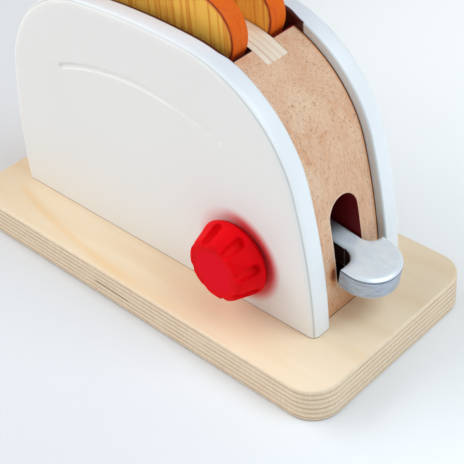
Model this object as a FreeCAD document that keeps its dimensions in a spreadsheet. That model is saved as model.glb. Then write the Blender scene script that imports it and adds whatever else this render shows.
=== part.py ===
import FreeCAD, Part
import math
import os

import Sketcher

# Wooden pop-up toy toaster, millimetres.
#
# +X runs towards the lever, -Y towards the knob, +Z up. The origin is the centre of the base's underside.
# Two arched panels stand on a plywood base with a solid block between them at each end. The well between
# the blocks holds the toast carrier. The lever rocks on a pin: when its head goes down, the peg at its
# inner end pushes the carrier and both slices up.

DIMENSIONS = (
    # plywood base
    ("base_length", 240.0, "base, along X"),
    ("base_width", 110.0, "base, along Y"),
    ("base_thick", 18.0, "base, along Z"),
    ("base_corner", 15.0, "radius of the base's corners in plan"),
    ("base_arris", 0.8, "chamfer of the base's edges"),
    # arched body
    ("arch_x", -4.0, "middle of the arch, along X"),
    ("gap_y", 3.5, "middle of the gap between the panels, along Y"),
    ("gap_width", 41.0, "clear gap between the panels"),
    ("panel_thick", 10.5, "thickness of a panel"),
    ("arch_half", 99.7, "half the arch's width at its foot"),
    ("arch_rise", 126.3, "height of the arch above the base"),
    ("arch_side_radius", 331.0, "long radius of the arch's flanks"),
    ("arch_shoulder_radius", 65.8, "radius of the arch's shoulders"),
    ("arch_top_radius", 337.0, "long radius of the arch's crown"),
    ("block_inset", 4.3, "how far the blocks lie inside the panels' outline"),
    ("panel_round", 4.0, "rounding of a panel's outer edge"),
    ("panel_inner_edge", 0.8, "chamfer of a panel's inner edge"),
    # routed arc near the top of the panels
    ("routed_radius", 143.0, "radius of the routed arc's middle line"),
    ("routed_height", 94.8, "height of the routed arc above the base, at its middle"),
    ("routed_half", 51.2, "half the span between the centres of its rounded ends"),
    ("routed_width", 3.4, "width of the routed arc"),
    ("routed_depth", 0.9, "depth of the routed arc"),
    # toast well
    ("well_right", 45.0, "right wall of the well, along X"),
    ("well_left", -53.0, "left wall of the well, along X"),
    ("divider_thick", 13.0, "thickness of the board between the slots"),
    ("divider_y", 4.0, "middle of that board, along Y"),
    ("divider_low", 84.0, "underside of that board"),
    ("divider_let_in", 9.0, "how deep the board is let into each block"),
    # lever slot in the right block
    ("lever_slot_y", 3.45, "middle of the lever slot, along Y"),
    ("lever_slot_width", 18.3, "width of the lever slot"),
    ("lever_slot_low", 27.5, "lowest point of the lever slot"),
    ("lever_slot_high", 75.0, "highest point of the lever slot"),
    # rocking lever
    ("pivot_x", 39.5, "pivot pin, along X"),
    ("pivot_z", 51.65, "pivot pin, along Z"),
    ("pivot_radius", 3.0, "radius of the pivot pin"),
    ("pivot_let_in", 6.0, "how deep the pin sits in each panel"),
    ("pivot_play", 0.06, "running clearance on the pin, on the radius"),
    ("spacer_radius", 4.8, "outer radius of the tubes that centre the lever"),
    ("spacer_play", 0.2, "play of the lever between the tubes, on each side"),
    ("lever_y", 6.5, "middle of the lever's arm, along Y"),
    ("lever_tilt", 9.4, "slope of the lever with its head down, degrees"),
    ("lever_thick", 12.0, "thickness of the lever"),
    ("lever_half", 5.2, "half the width of the lever's arm"),
    ("lever_edge", 0.8, "chamfer of the lever's edges"),
    ("head_reach", 61.24, "pivot to the centre of the lever's head"),
    ("head_radius", 14.67, "radius of the lever's head"),
    ("head_offset", -1.5, "centre of the head from the middle of the arm, along Y"),
    ("head_shank", 4.56, "straight sides behind the head's half round"),
    ("head_hollow", 6.5, "hollow between the head and the arm"),
    ("peg_reach", 44.1, "pivot to the lift peg"),
    ("peg_radius", 4.0, "radius of the lift peg"),
    ("peg_top", 11.32, "top of the peg above the lever's middle plane"),
    ("peg_tip", 1.1, "radius of the flat on top of the peg"),
    ("peg_let_in", 5.0, "how deep the peg sits in the lever"),
    # toast carrier and its guides
    ("carrier_low", 70.3, "underside of the carrier with the toast up"),
    ("carrier_thick", 8.0, "thickness of the carrier"),
    ("carrier_right", 33.0, "right end of the carrier's prongs, along X"),
    ("carrier_gap", 0.8, "play between the carrier and the well"),
    ("fork_start", 15.0, "inner end of the fork, along X"),
    ("fork_width", 14.5, "width of the fork"),
    ("rod_radius", 2.5, "radius of the guide rods"),
    ("rod_left_x", -45.0, "left guide rod, along X"),
    ("rod_right_x", -22.0, "right guide rod, along X"),
    ("rod_let_in", 6.0, "how deep a rod sits in the base and in the divider"),
    ("rod_play", 0.1, "running clearance of the carrier on a rod, on the radius"),
    # bread slices
    ("toast_wide", 96.8, "width of a slice over its lobes"),
    ("toast_waist", 90.8, "width of a slice below its lobes"),
    ("toast_tall", 88.0, "height of a slice"),
    ("toast_x", -3.7, "middle of a slice, along X; it leans towards the lever's end of the well"),
    ("toast_thick", 9.6, "thickness of a slice"),
    ("toast_lobe", 17.0, "radius of a slice's lobes"),
    ("toast_lobe_height", 63.5, "centre of the lobes above the slice's foot"),
    ("toast_corner", 7.0, "radius of a slice's lower corners"),
    ("toast_waist_radius", 6.0, "hollow under the lobes"),
    ("toast_edge", 0.9, "chamfer of a slice's edges"),
    ("toast_play", 0.3, "gap between a slice and the divider"),
    ("toast_lift", 0.05, "gap between a slice and the carrier"),
    # knob and its shaft
    ("knob_x", 52.6, "knob's axis, along X"),
    ("knob_z", 45.3, "knob's axis, along Z"),
    ("knob_stand", 1.0, "gap between the knob and the panel, filled by the felt"),
    ("knob_rim_radius", 19.15, "largest radius of the knob, near its back"),
    ("knob_rim_height", 3.2, "height of the largest radius above the panel"),
    ("knob_back_radius", 17.85, "radius of the knob's back face"),
    ("knob_front_radius", 15.15, "radius where the cone would meet the front face"),
    ("knob_height", 16.3, "front face above the panel"),
    ("knob_edge", 1.8, "chamfer of the knob's front edge"),
    ("flute_count", 8, "number of flutes"),
    ("flute_radius", 2.6, "radius of the flute cutter"),
    ("flute_reach", 15.5, "flute cutter's axis from the knob's axis"),
    ("flute_stop", 5.6, "back end of the flutes above the panel"),
    ("flute_angle", 15.0, "direction of the first flute, degrees from +X"),
    ("shaft_radius", 5.0, "radius of the knob's shaft"),
    ("shaft_play", 0.06, "running clearance of the shaft, on the radius"),
    ("shaft_in_knob", 12.0, "depth of the shaft's hole in the knob"),
    ("shaft_proud", 0.3, "end of the shaft behind the panel"),
    ("felt_radius", 12.0, "outer radius of the felt washer"),
    ("felt_thick", 0.9, "thickness of the felt washer"),
    ("washer_radius", 9.0, "outer radius of the retaining washer"),
    ("washer_thick", 1.5, "thickness of the retaining washer"),
    ("knob_screw_radius", 1.8, "radius of the knob screw's thread"),
    ("knob_screw_length", 15.0, "length of the knob screw's hole in the shaft"),
    ("knob_screw_short", 1.0, "space between the screw's end and the hole's end"),
    ("knob_screw_head", 4.2, "radius of the knob screw's head"),
    ("knob_screw_head_height", 2.8, "height of the knob screw's head"),
    ("washer_play", 0.3, "gap between the washer and the screw, on the radius"),
    ("recess_radius", 12.0, "radius of the pocket in the block behind the knob"),
    ("recess_depth", 8.0, "depth of that pocket"),
    # fasteners
    ("dowel_radius", 4.0, "radius of a panel dowel"),
    ("dowel_in_panel", 6.0, "depth of a dowel in the panel"),
    ("dowel_in_block", 8.0, "depth of a dowel in the block"),
    ("dowel_play", 0.05, "glue gap round a dowel"),
    ("dowel_end_play", 0.2, "glue gap at each end of a dowel"),
    ("dowel_x", 76.0, "panel dowels from the middle of the arch, along X"),
    ("dowel_z", 84.0, "panel dowels, along Z"),
    ("screw_right_x", 72.0, "base screws of the right block, along X"),
    ("screw_left_x", -80.0, "base screws of the left block, along X"),
    ("screw_spread", 14.6, "base screws from the middle of the gap, along Y"),
    ("screw_radius", 2.0, "radius of a base screw"),
    ("screw_head_radius", 4.2, "radius of a base screw's head"),
    ("screw_sink", 0.6, "how far the screw heads lie below the base's underside"),
    ("screw_length", 32.0, "length of a base screw"),
    ("screw_hole", 21.0, "depth of its hole in the block"),
)

doc = FreeCAD.newDocument("toy_toaster")
dims = doc.addObject("Spreadsheet::Sheet", "Dims")
for row, (alias, size, meaning) in enumerate(DIMENSIONS, start=1):
    dims.set("A%d" % row, meaning)
    dims.set("B%d" % row, str(size))
    dims.setAlias("B%d" % row, alias)
doc.recompute()

PARTS = []

# Places that several pieces share, as expressions on the sheet.
GAP_FRONT = "(Dims.gap_y - Dims.gap_width / 2)"
GAP_BACK = "(Dims.gap_y + Dims.gap_width / 2)"
FRONT_FACE = "(Dims.gap_y - Dims.gap_width / 2 - Dims.panel_thick)"
BACK_FACE = "(Dims.gap_y + Dims.gap_width / 2 + Dims.panel_thick)"
DIVIDER_FRONT = "(Dims.divider_y - Dims.divider_thick / 2)"
DIVIDER_BACK = "(Dims.divider_y + Dims.divider_thick / 2)"
CARRIER_TOP = "(Dims.carrier_low + Dims.carrier_thick)"
FAR = "300"


def value(text):
    """The number that an expression on the sheet gives."""
    return float(dims.evalExpression(text.replace("Dims.", "")))


# ---------------------------------------------------------------- sketches

class Outline:
    """A closed chain of lines and arcs in a sketch. Joints are tangent unless they are named as corners."""

    def __init__(self, sketch):
        self.sketch = sketch
        self.pieces = []

    def line(self, start, end):
        first = FreeCAD.Vector(start[0], start[1], 0)
        last = FreeCAD.Vector(end[0], end[1], 0)
        index = self.sketch.addGeometry(Part.LineSegment(first, last), False)
        self.pieces.append((index, 1, 2))
        return index

    def arc(self, centre, radius, start, end):
        """An arc from one angle to another, in degrees. It runs clockwise where end is less than start."""
        circle = Part.Circle(FreeCAD.Vector(centre[0], centre[1], 0), FreeCAD.Vector(0, 0, 1), radius)
        low, high = sorted((math.radians(start), math.radians(end)))
        index = self.sketch.addGeometry(Part.ArcOfCircle(circle, low, high), False)
        self.pieces.append((index, 1, 2) if end > start else (index, 2, 1))
        return index

    def close(self, corners=()):
        """Join each piece to the next one, and the last to the first."""
        following = self.pieces[1:] + self.pieces[:1]
        for (index, _, tail), (after, head, _) in zip(self.pieces, following):
            kind = "Coincident" if index in corners else "Tangent"
            self.sketch.addConstraint(Sketcher.Constraint(kind, index, tail, after, head))


def bind(sketch, constraint, text):
    """Add a dimension whose size is an expression on the sheet."""
    index = sketch.addConstraint(constraint)
    sketch.setExpression("Constraints[%d]" % index, text)


def hold_radius(sketch, piece, text):
    bind(sketch, Sketcher.Constraint("Radius", piece, value(text)), text)


def hold_across(sketch, piece, end, text):
    """Fix how far a point lies from the sketch's origin, across."""
    bind(sketch, Sketcher.Constraint("DistanceX", -1, 1, piece, end, value(text)), text)


def hold_up(sketch, piece, end, text):
    """Fix how far a point lies from the sketch's origin, upwards."""
    bind(sketch, Sketcher.Constraint("DistanceY", -1, 1, piece, end, value(text)), text)


def draw_rectangle(sketch, left, right, low, high):
    x0, x1, y0, y1 = (value(text) for text in (left, right, low, high))
    outline = Outline(sketch)
    foot = outline.line((x0, y0), (x1, y0))
    side = outline.line((x1, y0), (x1, y1))
    top = outline.line((x1, y1), (x0, y1))
    back = outline.line((x0, y1), (x0, y0))
    outline.close(corners=(foot, side, top, back))
    for piece in (foot, top):
        sketch.addConstraint(Sketcher.Constraint("Horizontal", piece))
    for piece in (side, back):
        sketch.addConstraint(Sketcher.Constraint("Vertical", piece))
    hold_across(sketch, foot, 1, left)
    hold_across(sketch, foot, 2, right)
    hold_up(sketch, foot, 1, low)
    hold_up(sketch, top, 1, high)


def draw_circle(sketch, across, up, radius):
    middle = FreeCAD.Vector(value(across), value(up), 0)
    piece = sketch.addGeometry(Part.Circle(middle, FreeCAD.Vector(0, 0, 1), value(radius)), False)
    hold_across(sketch, piece, 3, across)
    hold_up(sketch, piece, 3, up)
    hold_radius(sketch, piece, radius)


def draw_upright_slot(sketch, across, low, high, width):
    """A slot with half-round ends. Low and high are its lowest and highest points."""
    middle, y0, y1, half = value(across), value(low), value(high), value(width) / 2
    outline = Outline(sketch)
    outline.line((middle + half, y0 + half), (middle + half, y1 - half))
    crown = outline.arc((middle, y1 - half), half, 0, 180)
    outline.line((middle - half, y1 - half), (middle - half, y0 + half))
    foot = outline.arc((middle, y0 + half), half, 180, 360)
    outline.close()
    hold_across(sketch, crown, 3, across)
    hold_up(sketch, crown, 3, "%s - %s / 2" % (high, width))
    hold_up(sketch, foot, 3, "%s + %s / 2" % (low, width))
    hold_radius(sketch, crown, "%s / 2" % width)
    sketch.addConstraint(Sketcher.Constraint("Vertical", crown, 3, foot, 3))


def circles_cross(first, first_radius, second, second_radius):
    """The upper crossing of two circles."""
    dx, dy = second[0] - first[0], second[1] - first[1]
    apart = math.hypot(dx, dy)
    along = (apart ** 2 + first_radius ** 2 - second_radius ** 2) / (2 * apart)
    aside = math.sqrt(first_radius ** 2 - along ** 2)
    crossings = []
    for side in (-1, 1):
        x = first[0] + (along * dx - side * aside * dy) / apart
        y = first[1] + (along * dy + side * aside * dx) / apart
        crossings.append((x, y))
    return max(crossings, key=lambda point: point[1])


def draw_arch(sketch, inset):
    """The toaster's arch, from arcs of three radii that run smoothly into each other.

    The flanks leave the base upright, because their centres lie level with the foot. The shoulder's centre
    is as far from the flank's and from the crown's centre as their radii differ.
    """
    half = value("Dims.arch_half - %s" % inset)
    rise = value("Dims.arch_rise - %s" % inset)
    side = value("Dims.arch_side_radius - %s" % inset)
    shoulder = value("Dims.arch_shoulder_radius - %s" % inset)
    crown = value("Dims.arch_top_radius - %s" % inset)
    side_centre = (half - side, 0)
    crown_centre = (0, rise - crown)
    bend = circles_cross(side_centre, side - shoulder, crown_centre, crown - shoulder)
    low = math.degrees(math.atan2(bend[1], bend[0] - side_centre[0]))
    high = math.degrees(math.atan2(bend[1] - crown_centre[1], bend[0]))

    outline = Outline(sketch)
    foot = outline.line((-half, 0), (half, 0))
    right = outline.arc(side_centre, side, 0, low)
    right_shoulder = outline.arc(bend, shoulder, low, high)
    top = outline.arc(crown_centre, crown, high, 180 - high)
    left_shoulder = outline.arc((-bend[0], bend[1]), shoulder, 180 - high, 180 - low)
    left = outline.arc((-side_centre[0], 0), side, 180 - low, 180)
    outline.close(corners=(foot, left))

    sketch.addConstraint(Sketcher.Constraint("PointOnObject", foot, 1, -1))
    sketch.addConstraint(Sketcher.Constraint("Symmetric", foot, 1, foot, 2, -2))
    sketch.addConstraint(Sketcher.Constraint("PointOnObject", right, 3, -1))
    sketch.addConstraint(Sketcher.Constraint("PointOnObject", left, 3, -1))
    sketch.addConstraint(Sketcher.Constraint("PointOnObject", top, 3, -2))
    hold_across(sketch, foot, 2, "Dims.arch_half - %s" % inset)
    hold_up(sketch, top, 3, "Dims.arch_rise - Dims.arch_top_radius")
    for piece in (right, left):
        hold_radius(sketch, piece, "Dims.arch_side_radius - %s" % inset)
    for piece in (right_shoulder, left_shoulder):
        hold_radius(sketch, piece, "Dims.arch_shoulder_radius - %s" % inset)
    hold_radius(sketch, top, "Dims.arch_top_radius - %s" % inset)


# ---------------------------------------------------------------- features

def new_body(label):
    body = doc.addObject("PartDesign::Body", label)
    body.Label = label
    PARTS.append(body)
    return body


def origin_feature(body, role):
    return next(feature for feature in body.Origin.OriginFeatures if feature.Role == role)


def sketch_on(body, name, plane, right=None, up=None, out=None):
    """A sketch on an origin plane of its body, moved in that plane's own axes.

    On the XZ plane "out" runs along -Y, on the XY plane along +Z and on the YZ plane along +X.
    """
    sketch = body.newObject("Sketcher::SketchObject", name)
    sketch.AttachmentSupport = (origin_feature(body, plane), [""])
    sketch.MapMode = "FlatFace"
    for axis, text in (("x", right), ("y", up), ("z", out)):
        if text is not None:
            sketch.setExpression("AttachmentOffset.Base." + axis, text)
    return sketch


def pad(body, sketch, length, name="Pad", reverse=False):
    feature = body.newObject("PartDesign::Pad", name)
    feature.Profile = sketch
    feature.Reversed = reverse
    feature.setExpression("Length", length)
    doc.recompute()
    return feature


def pocket(body, sketch, length, name="Pocket", reverse=False):
    """Cut the sketch's outline against its out direction, or along it where reverse is set."""
    before = body.Shape.Volume
    feature = body.newObject("PartDesign::Pocket", name)
    feature.Profile = sketch
    feature.Reversed = reverse
    feature.setExpression("Length", length)
    doc.recompute()
    if not body.Shape.Volume < before:
        raise ValueError("%s cuts nothing from %s" % (name, body.Label))
    return feature


def round_edges(body, radius, name, chosen):
    """Round the edges of the body's last feature for which chosen(edge) is true."""
    last = body.Tip
    names = ["Edge%d" % n for n, edge in enumerate(last.Shape.Edges, start=1) if chosen(edge)]
    feature = body.newObject("PartDesign::Fillet", name)
    feature.Base = (last, names)
    feature.setExpression("Radius", radius)
    doc.recompute()
    return feature


def break_edges(body, size, name, chosen):
    """Chamfer the edges of the body's last feature for which chosen(edge) is true."""
    last = body.Tip
    names = ["Edge%d" % n for n, edge in enumerate(last.Shape.Edges, start=1) if chosen(edge)]
    feature = body.newObject("PartDesign::Chamfer", name)
    feature.Base = (last, names)
    feature.setExpression("Size", size)
    doc.recompute()
    return feature


def flat_at(edge, axis, place):
    """Whether an edge lies in the plane where the given axis ("x", "y" or "z") has that value."""
    spread = edge.BoundBox
    low, high = getattr(spread, axis.upper() + "Min"), getattr(spread, axis.upper() + "Max")
    return abs(low - place) < 1e-4 and abs(high - place) < 1e-4


def put(item, x=None, y=None, z=None):
    """Place a piece by expressions."""
    for axis, text in (("x", x), ("y", y), ("z", z)):
        if text is not None:
            item.setExpression("Placement.Base." + axis, text)


def cylinder(name, radius, height, axis="z"):
    """A cylinder that runs from its place along +Z or +Y."""
    item = doc.addObject("Part::Cylinder", name)
    item.setExpression("Radius", radius)
    item.setExpression("Height", height)
    if axis == "y":
        item.Placement.Rotation = FreeCAD.Rotation(FreeCAD.Vector(1, 0, 0), -90)
    return item


def group(label, items):
    """One node that holds several like pieces."""
    compound = doc.addObject("Part::Compound", label)
    compound.Links = items
    compound.Label = label
    PARTS.append(compound)
    return compound


# ---------------------------------------------------------------- base

def make_base_plate():
    body = new_body("base_plate")
    sketch = sketch_on(body, "BaseOutline", "XY_Plane")
    draw_rectangle(sketch, "-Dims.base_length / 2", "Dims.base_length / 2",
                   "-Dims.base_width / 2", "Dims.base_width / 2")
    pad(body, sketch, "Dims.base_thick", "BasePad")
    upright = lambda edge: edge.BoundBox.ZLength > value("Dims.base_thick") / 2
    round_edges(body, "Dims.base_corner", "BaseCorners", upright)
    top, underside = value("Dims.base_thick"), 0.0
    break_edges(body, "Dims.base_arris", "BaseArris",
                lambda edge: flat_at(edge, "z", top) or flat_at(edge, "z", underside))

    rods = sketch_on(body, "RodHoles", "XY_Plane", out="Dims.base_thick")
    for x in ("Dims.rod_left_x", "Dims.rod_right_x"):
        draw_circle(rods, x, "Dims.gap_y", "Dims.rod_radius")
    pocket(body, rods, "Dims.rod_let_in", "RodSockets")

    screws = sketch_on(body, "ScrewPlaces", "XY_Plane")
    for x in ("Dims.screw_left_x", "Dims.screw_right_x"):
        for sign in ("-", "+"):
            draw_circle(screws, x, "Dims.gap_y %s Dims.screw_spread" % sign, "Dims.screw_head_radius")
    doc.recompute()
    hole = body.newObject("PartDesign::Hole", "ScrewHoles")
    hole.Profile = screws
    hole.Reversed = True
    hole.DepthType = "ThroughAll"
    hole.setExpression("Diameter", "2 * (Dims.screw_radius + Dims.dowel_play)")
    hole.HoleCutType = "Countersink"
    hole.HoleCutCustomValues = True
    hole.setExpression("HoleCutDiameter", "2 * (Dims.screw_head_radius + Dims.screw_sink)")
    hole.HoleCutCountersinkAngle = 90
    doc.recompute()


def make_base_screws():
    """Countersunk wood screws from under the base, two into each block."""
    items = []
    for x in ("Dims.screw_left_x", "Dims.screw_right_x"):
        for sign in ("-", "+"):
            y = "Dims.gap_y %s Dims.screw_spread" % sign
            head = doc.addObject("Part::Cone", "ScrewHead")
            head.setExpression("Radius1", "Dims.screw_head_radius")
            head.setExpression("Radius2", "Dims.screw_radius")
            head.setExpression("Height", "Dims.screw_head_radius - Dims.screw_radius")
            put(head, x, y, "Dims.screw_sink")
            shank = cylinder("ScrewShank", "Dims.screw_radius", "Dims.screw_length")
            put(shank, x, y, "Dims.screw_sink")
            screw = doc.addObject("Part::MultiFuse", "Screw")
            screw.Shapes = [head, shank]
            screw.Refine = True
            items.append(screw)
    group("base_screws", items)


# ---------------------------------------------------------------- panels

DOWEL_PLACES = ("Dims.dowel_x", "-Dims.dowel_x")


def draw_routed_arc(sketch):
    """The shallow arc routed near the top, a bent slot with half-round ends."""
    radius, half = value("Dims.routed_radius"), value("Dims.routed_width") / 2
    centre = (0, value("Dims.routed_height") - radius)
    swing = math.degrees(math.asin(value("Dims.routed_half") / radius))
    outline = Outline(sketch)
    outer = outline.arc(centre, radius + half, 90 - swing, 90 + swing)
    ends = []
    for sign, turn in ((-1, 90 + swing), (1, 270 - swing)):
        x = sign * value("Dims.routed_half")
        y = centre[1] + math.sqrt(radius ** 2 - x ** 2)
        ends.append(outline.arc((x, y), half, turn, turn + 180))
        if sign < 0:
            inner = outline.arc(centre, radius - half, 90 + swing, 90 - swing)
    outline.close()
    sketch.addConstraint(Sketcher.Constraint("Coincident", outer, 3, inner, 3))
    sketch.addConstraint(Sketcher.Constraint("PointOnObject", outer, 3, -2))
    hold_up(sketch, outer, 3, "Dims.routed_height - Dims.routed_radius")
    hold_radius(sketch, outer, "Dims.routed_radius + Dims.routed_width / 2")
    hold_radius(sketch, inner, "Dims.routed_radius - Dims.routed_width / 2")
    hold_across(sketch, ends[0], 3, "-Dims.routed_half")
    hold_across(sketch, ends[1], 3, "Dims.routed_half")


def make_panel(label, front):
    """One arched panel. Its outer edge is well rounded, its inner edge only broken."""
    body = new_body(label)
    outer, inner = (FRONT_FACE, GAP_FRONT) if front else (BACK_FACE, GAP_BACK)
    outline = sketch_on(body, "Arch", "XZ_Plane", "Dims.arch_x", "Dims.base_thick", "-%s" % outer)
    draw_arch(outline, "0")
    pad(body, outline, "Dims.panel_thick", "PanelPad", reverse=front)

    curved = lambda edge: edge.Curve.TypeId == "Part::GeomCircle"
    round_edges(body, "Dims.panel_round", "OuterRound",
                lambda edge: curved(edge) and flat_at(edge, "y", value(outer)))
    break_edges(body, "Dims.panel_inner_edge", "InnerEdge",
                lambda edge: curved(edge) and flat_at(edge, "y", value(inner)))

    routed = sketch_on(body, "RoutedArc", "XZ_Plane", "Dims.arch_x", "Dims.base_thick", "-%s" % outer)
    draw_routed_arc(routed)
    pocket(body, routed, "Dims.routed_depth", "RoutedPocket", reverse=not front)

    dowels = sketch_on(body, "DowelHoles", "XZ_Plane", "Dims.arch_x", None, "-%s" % inner)
    for across in DOWEL_PLACES:
        draw_circle(dowels, across, "Dims.dowel_z", "Dims.dowel_radius + Dims.dowel_play")
    pocket(body, dowels, "Dims.dowel_in_panel + Dims.dowel_end_play", "DowelSockets", reverse=front)

    pin = sketch_on(body, "PinHole", "XZ_Plane", None, None, "-%s" % inner)
    draw_circle(pin, "Dims.pivot_x", "Dims.pivot_z", "Dims.pivot_radius")
    pocket(body, pin, "Dims.pivot_let_in", "PinSocket", reverse=front)

    if front:
        shaft = sketch_on(body, "ShaftHole", "XZ_Plane", None, None, "-%s" % inner)
        draw_circle(shaft, "Dims.knob_x", "Dims.knob_z", "Dims.shaft_radius + Dims.shaft_play")
        pocket(body, shaft, "Dims.panel_thick + Dims.shaft_radius", "ShaftBore", reverse=True)


def make_panel_dowels():
    """Glued dowels, two in each panel."""
    items = []
    for face, ahead, behind in ((GAP_FRONT, "Dims.dowel_in_panel", "Dims.dowel_in_block"),
                                (GAP_BACK, "Dims.dowel_in_block", "Dims.dowel_in_panel")):
        for across in DOWEL_PLACES:
            dowel = cylinder("Dowel", "Dims.dowel_radius", "%s + %s" % (ahead, behind), axis="y")
            put(dowel, "Dims.arch_x + (%s)" % across, "%s - %s" % (face, ahead), "Dims.dowel_z")
            items.append(dowel)
    group("panel_dowels", items)


# ---------------------------------------------------------------- blocks and divider

def make_block(label, right):
    """A solid end block under the arch, from one panel to the other."""
    body = new_body(label)
    outline = sketch_on(body, "Arch", "XZ_Plane", "Dims.arch_x", "Dims.base_thick", "-%s" % GAP_FRONT)
    draw_arch(outline, "Dims.block_inset")
    pad(body, outline, "Dims.gap_width", "BlockPad", reverse=True)

    well = sketch_on(body, "Well", "XZ_Plane", None, None, "-%s" % GAP_FRONT)
    if right:
        draw_rectangle(well, "-" + FAR, "Dims.well_right", "0", FAR)
    else:
        draw_rectangle(well, "Dims.well_left", FAR, "0", FAR)
    pocket(body, well, "Dims.gap_width", "WellCut")

    wall = "Dims.well_right" if right else "Dims.well_left"
    housing = sketch_on(body, "DividerHousing", "YZ_Plane", None, None, wall)
    draw_rectangle(housing, DIVIDER_FRONT, DIVIDER_BACK, "Dims.divider_low", FAR)
    pocket(body, housing, "Dims.divider_let_in", "DividerPocket", reverse=right)

    for face, forward in ((GAP_FRONT, False), (GAP_BACK, True)):
        dowels = sketch_on(body, "DowelHoles", "XZ_Plane", "Dims.arch_x", None, "-%s" % face)
        across = DOWEL_PLACES[0] if right else DOWEL_PLACES[1]
        draw_circle(dowels, across, "Dims.dowel_z", "Dims.dowel_radius + Dims.dowel_play")
        pocket(body, dowels, "Dims.dowel_in_block + Dims.dowel_end_play", "DowelSockets", reverse=forward)

    screws = sketch_on(body, "ScrewPilots", "XY_Plane", None, None, "Dims.base_thick")
    x = "Dims.screw_right_x" if right else "Dims.screw_left_x"
    for sign in ("-", "+"):
        y = "Dims.gap_y %s Dims.screw_spread" % sign
        draw_circle(screws, x, y, "Dims.screw_radius + Dims.dowel_play")
    pocket(body, screws, "Dims.screw_hole", "ScrewBores", reverse=True)

    if right:
        slot = sketch_on(body, "LeverSlot", "YZ_Plane", None, None, "Dims.well_right - Dims.divider_let_in")
        draw_upright_slot(slot, "Dims.lever_slot_y", "Dims.lever_slot_low", "Dims.lever_slot_high",
                          "Dims.lever_slot_width")
        pocket(body, slot, "Dims.arch_half", "LeverOpening", reverse=True)
        recess = sketch_on(body, "KnobRecess", "XZ_Plane", None, None, "-%s" % GAP_FRONT)
        draw_circle(recess, "Dims.knob_x", "Dims.knob_z", "Dims.recess_radius")
        pocket(body, recess, "Dims.recess_depth", "KnobPocket")


def make_divider():
    """The board between the bread slots, with its top on the blocks' arch and its ends let into them."""
    body = new_body("slot_divider")
    outline = sketch_on(body, "Arch", "XZ_Plane", "Dims.arch_x", "Dims.base_thick", "-%s" % DIVIDER_FRONT)
    draw_arch(outline, "Dims.block_inset")
    pad(body, outline, "Dims.divider_thick", "DividerPad", reverse=True)
    ends = sketch_on(body, "Ends", "XZ_Plane", None, None, "-%s" % DIVIDER_FRONT)
    draw_rectangle(ends, "-" + FAR, FAR, "-" + FAR, FAR)
    draw_rectangle(ends, "Dims.well_left - Dims.divider_let_in", "Dims.well_right + Dims.divider_let_in",
                   "Dims.divider_low", "Dims.base_thick + Dims.arch_rise")
    pocket(body, ends, "Dims.divider_thick", "EndsCut")
    rods = sketch_on(body, "RodHoles", "XY_Plane", None, None, "Dims.divider_low")
    for x in ("Dims.rod_left_x", "Dims.rod_right_x"):
        draw_circle(rods, x, "Dims.gap_y", "Dims.rod_radius")
    pocket(body, rods, "Dims.rod_let_in", "RodSockets", reverse=True)


# ---------------------------------------------------------------- lever

def place_on_lever(item):
    """Put a piece that is drawn in the lever's own plane on the pivot, at the lever's slope."""
    item.Placement.Rotation = FreeCAD.Rotation(FreeCAD.Vector(0, 1, 0), value("Dims.lever_tilt"))
    item.setExpression("Placement.Rotation.Angle", "Dims.lever_tilt")
    put(item, "Dims.pivot_x", "Dims.lever_y", "Dims.pivot_z")


def draw_lever(sketch):
    """Plan of the lever: a long arm with a half-round inner end, hollowed out to a half-round head."""
    half, inner = value("Dims.lever_half"), -value("Dims.peg_reach")
    reach, radius = value("Dims.head_reach"), value("Dims.head_radius")
    middle, hollow = value("Dims.head_offset"), value("Dims.head_hollow")
    back = reach - value("Dims.head_shank")
    outline = Outline(sketch)
    outline.line((inner, -half), (back - hollow, -half))
    front_hollow = outline.arc((back - hollow, -half - hollow), hollow, 90, 0)
    front_back = outline.line((back, -half - hollow), (back, middle - radius))
    front_side = outline.line((back, middle - radius), (reach, middle - radius))
    head = outline.arc((reach, middle), radius, -90, 90)
    rear_side = outline.line((reach, middle + radius), (back, middle + radius))
    rear_back = outline.line((back, middle + radius), (back, half + hollow))
    rear_hollow = outline.arc((back - hollow, half + hollow), hollow, 360, 270)
    outline.line((back - hollow, half), (inner, half))
    tail = outline.arc((inner, 0), half, 90, 270)
    outline.close(corners=(front_back, rear_side))
    for piece in (front_back, rear_back):
        sketch.addConstraint(Sketcher.Constraint("Vertical", piece))
    sketch.addConstraint(Sketcher.Constraint("Horizontal", front_side))
    sketch.addConstraint(Sketcher.Constraint("PointOnObject", tail, 3, -1))
    hold_across(sketch, tail, 3, "-Dims.peg_reach")
    hold_across(sketch, head, 3, "Dims.head_reach")
    hold_up(sketch, head, 3, "Dims.head_offset")
    hold_radius(sketch, tail, "Dims.lever_half")
    hold_radius(sketch, head, "Dims.head_radius")
    for piece in (front_hollow, rear_hollow):
        hold_radius(sketch, piece, "Dims.head_hollow")
    for piece in (front_back, rear_back):
        hold_across(sketch, piece, 1, "Dims.head_reach - Dims.head_shank")


def make_lever():
    body = new_body("lever")
    plan = sketch_on(body, "LeverPlan", "XY_Plane", None, None, "-Dims.lever_thick / 2")
    draw_lever(plan)
    pad(body, plan, "Dims.lever_thick", "LeverPad")
    half = value("Dims.lever_thick") / 2
    break_edges(body, "Dims.lever_edge", "LeverArris",
                lambda edge: flat_at(edge, "z", half) or flat_at(edge, "z", -half))
    pin = sketch_on(body, "PinHole", "XZ_Plane", None, None, "2 * Dims.lever_half")
    draw_circle(pin, "0", "0", "Dims.pivot_radius + Dims.pivot_play")
    pocket(body, pin, "4 * Dims.lever_half", "PinBore")
    peg = sketch_on(body, "PegHole", "XY_Plane", None, None, "Dims.lever_thick / 2")
    draw_circle(peg, "-Dims.peg_reach", "0", "Dims.peg_radius")
    pocket(body, peg, "Dims.peg_let_in", "PegSocket")
    place_on_lever(body)


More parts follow.
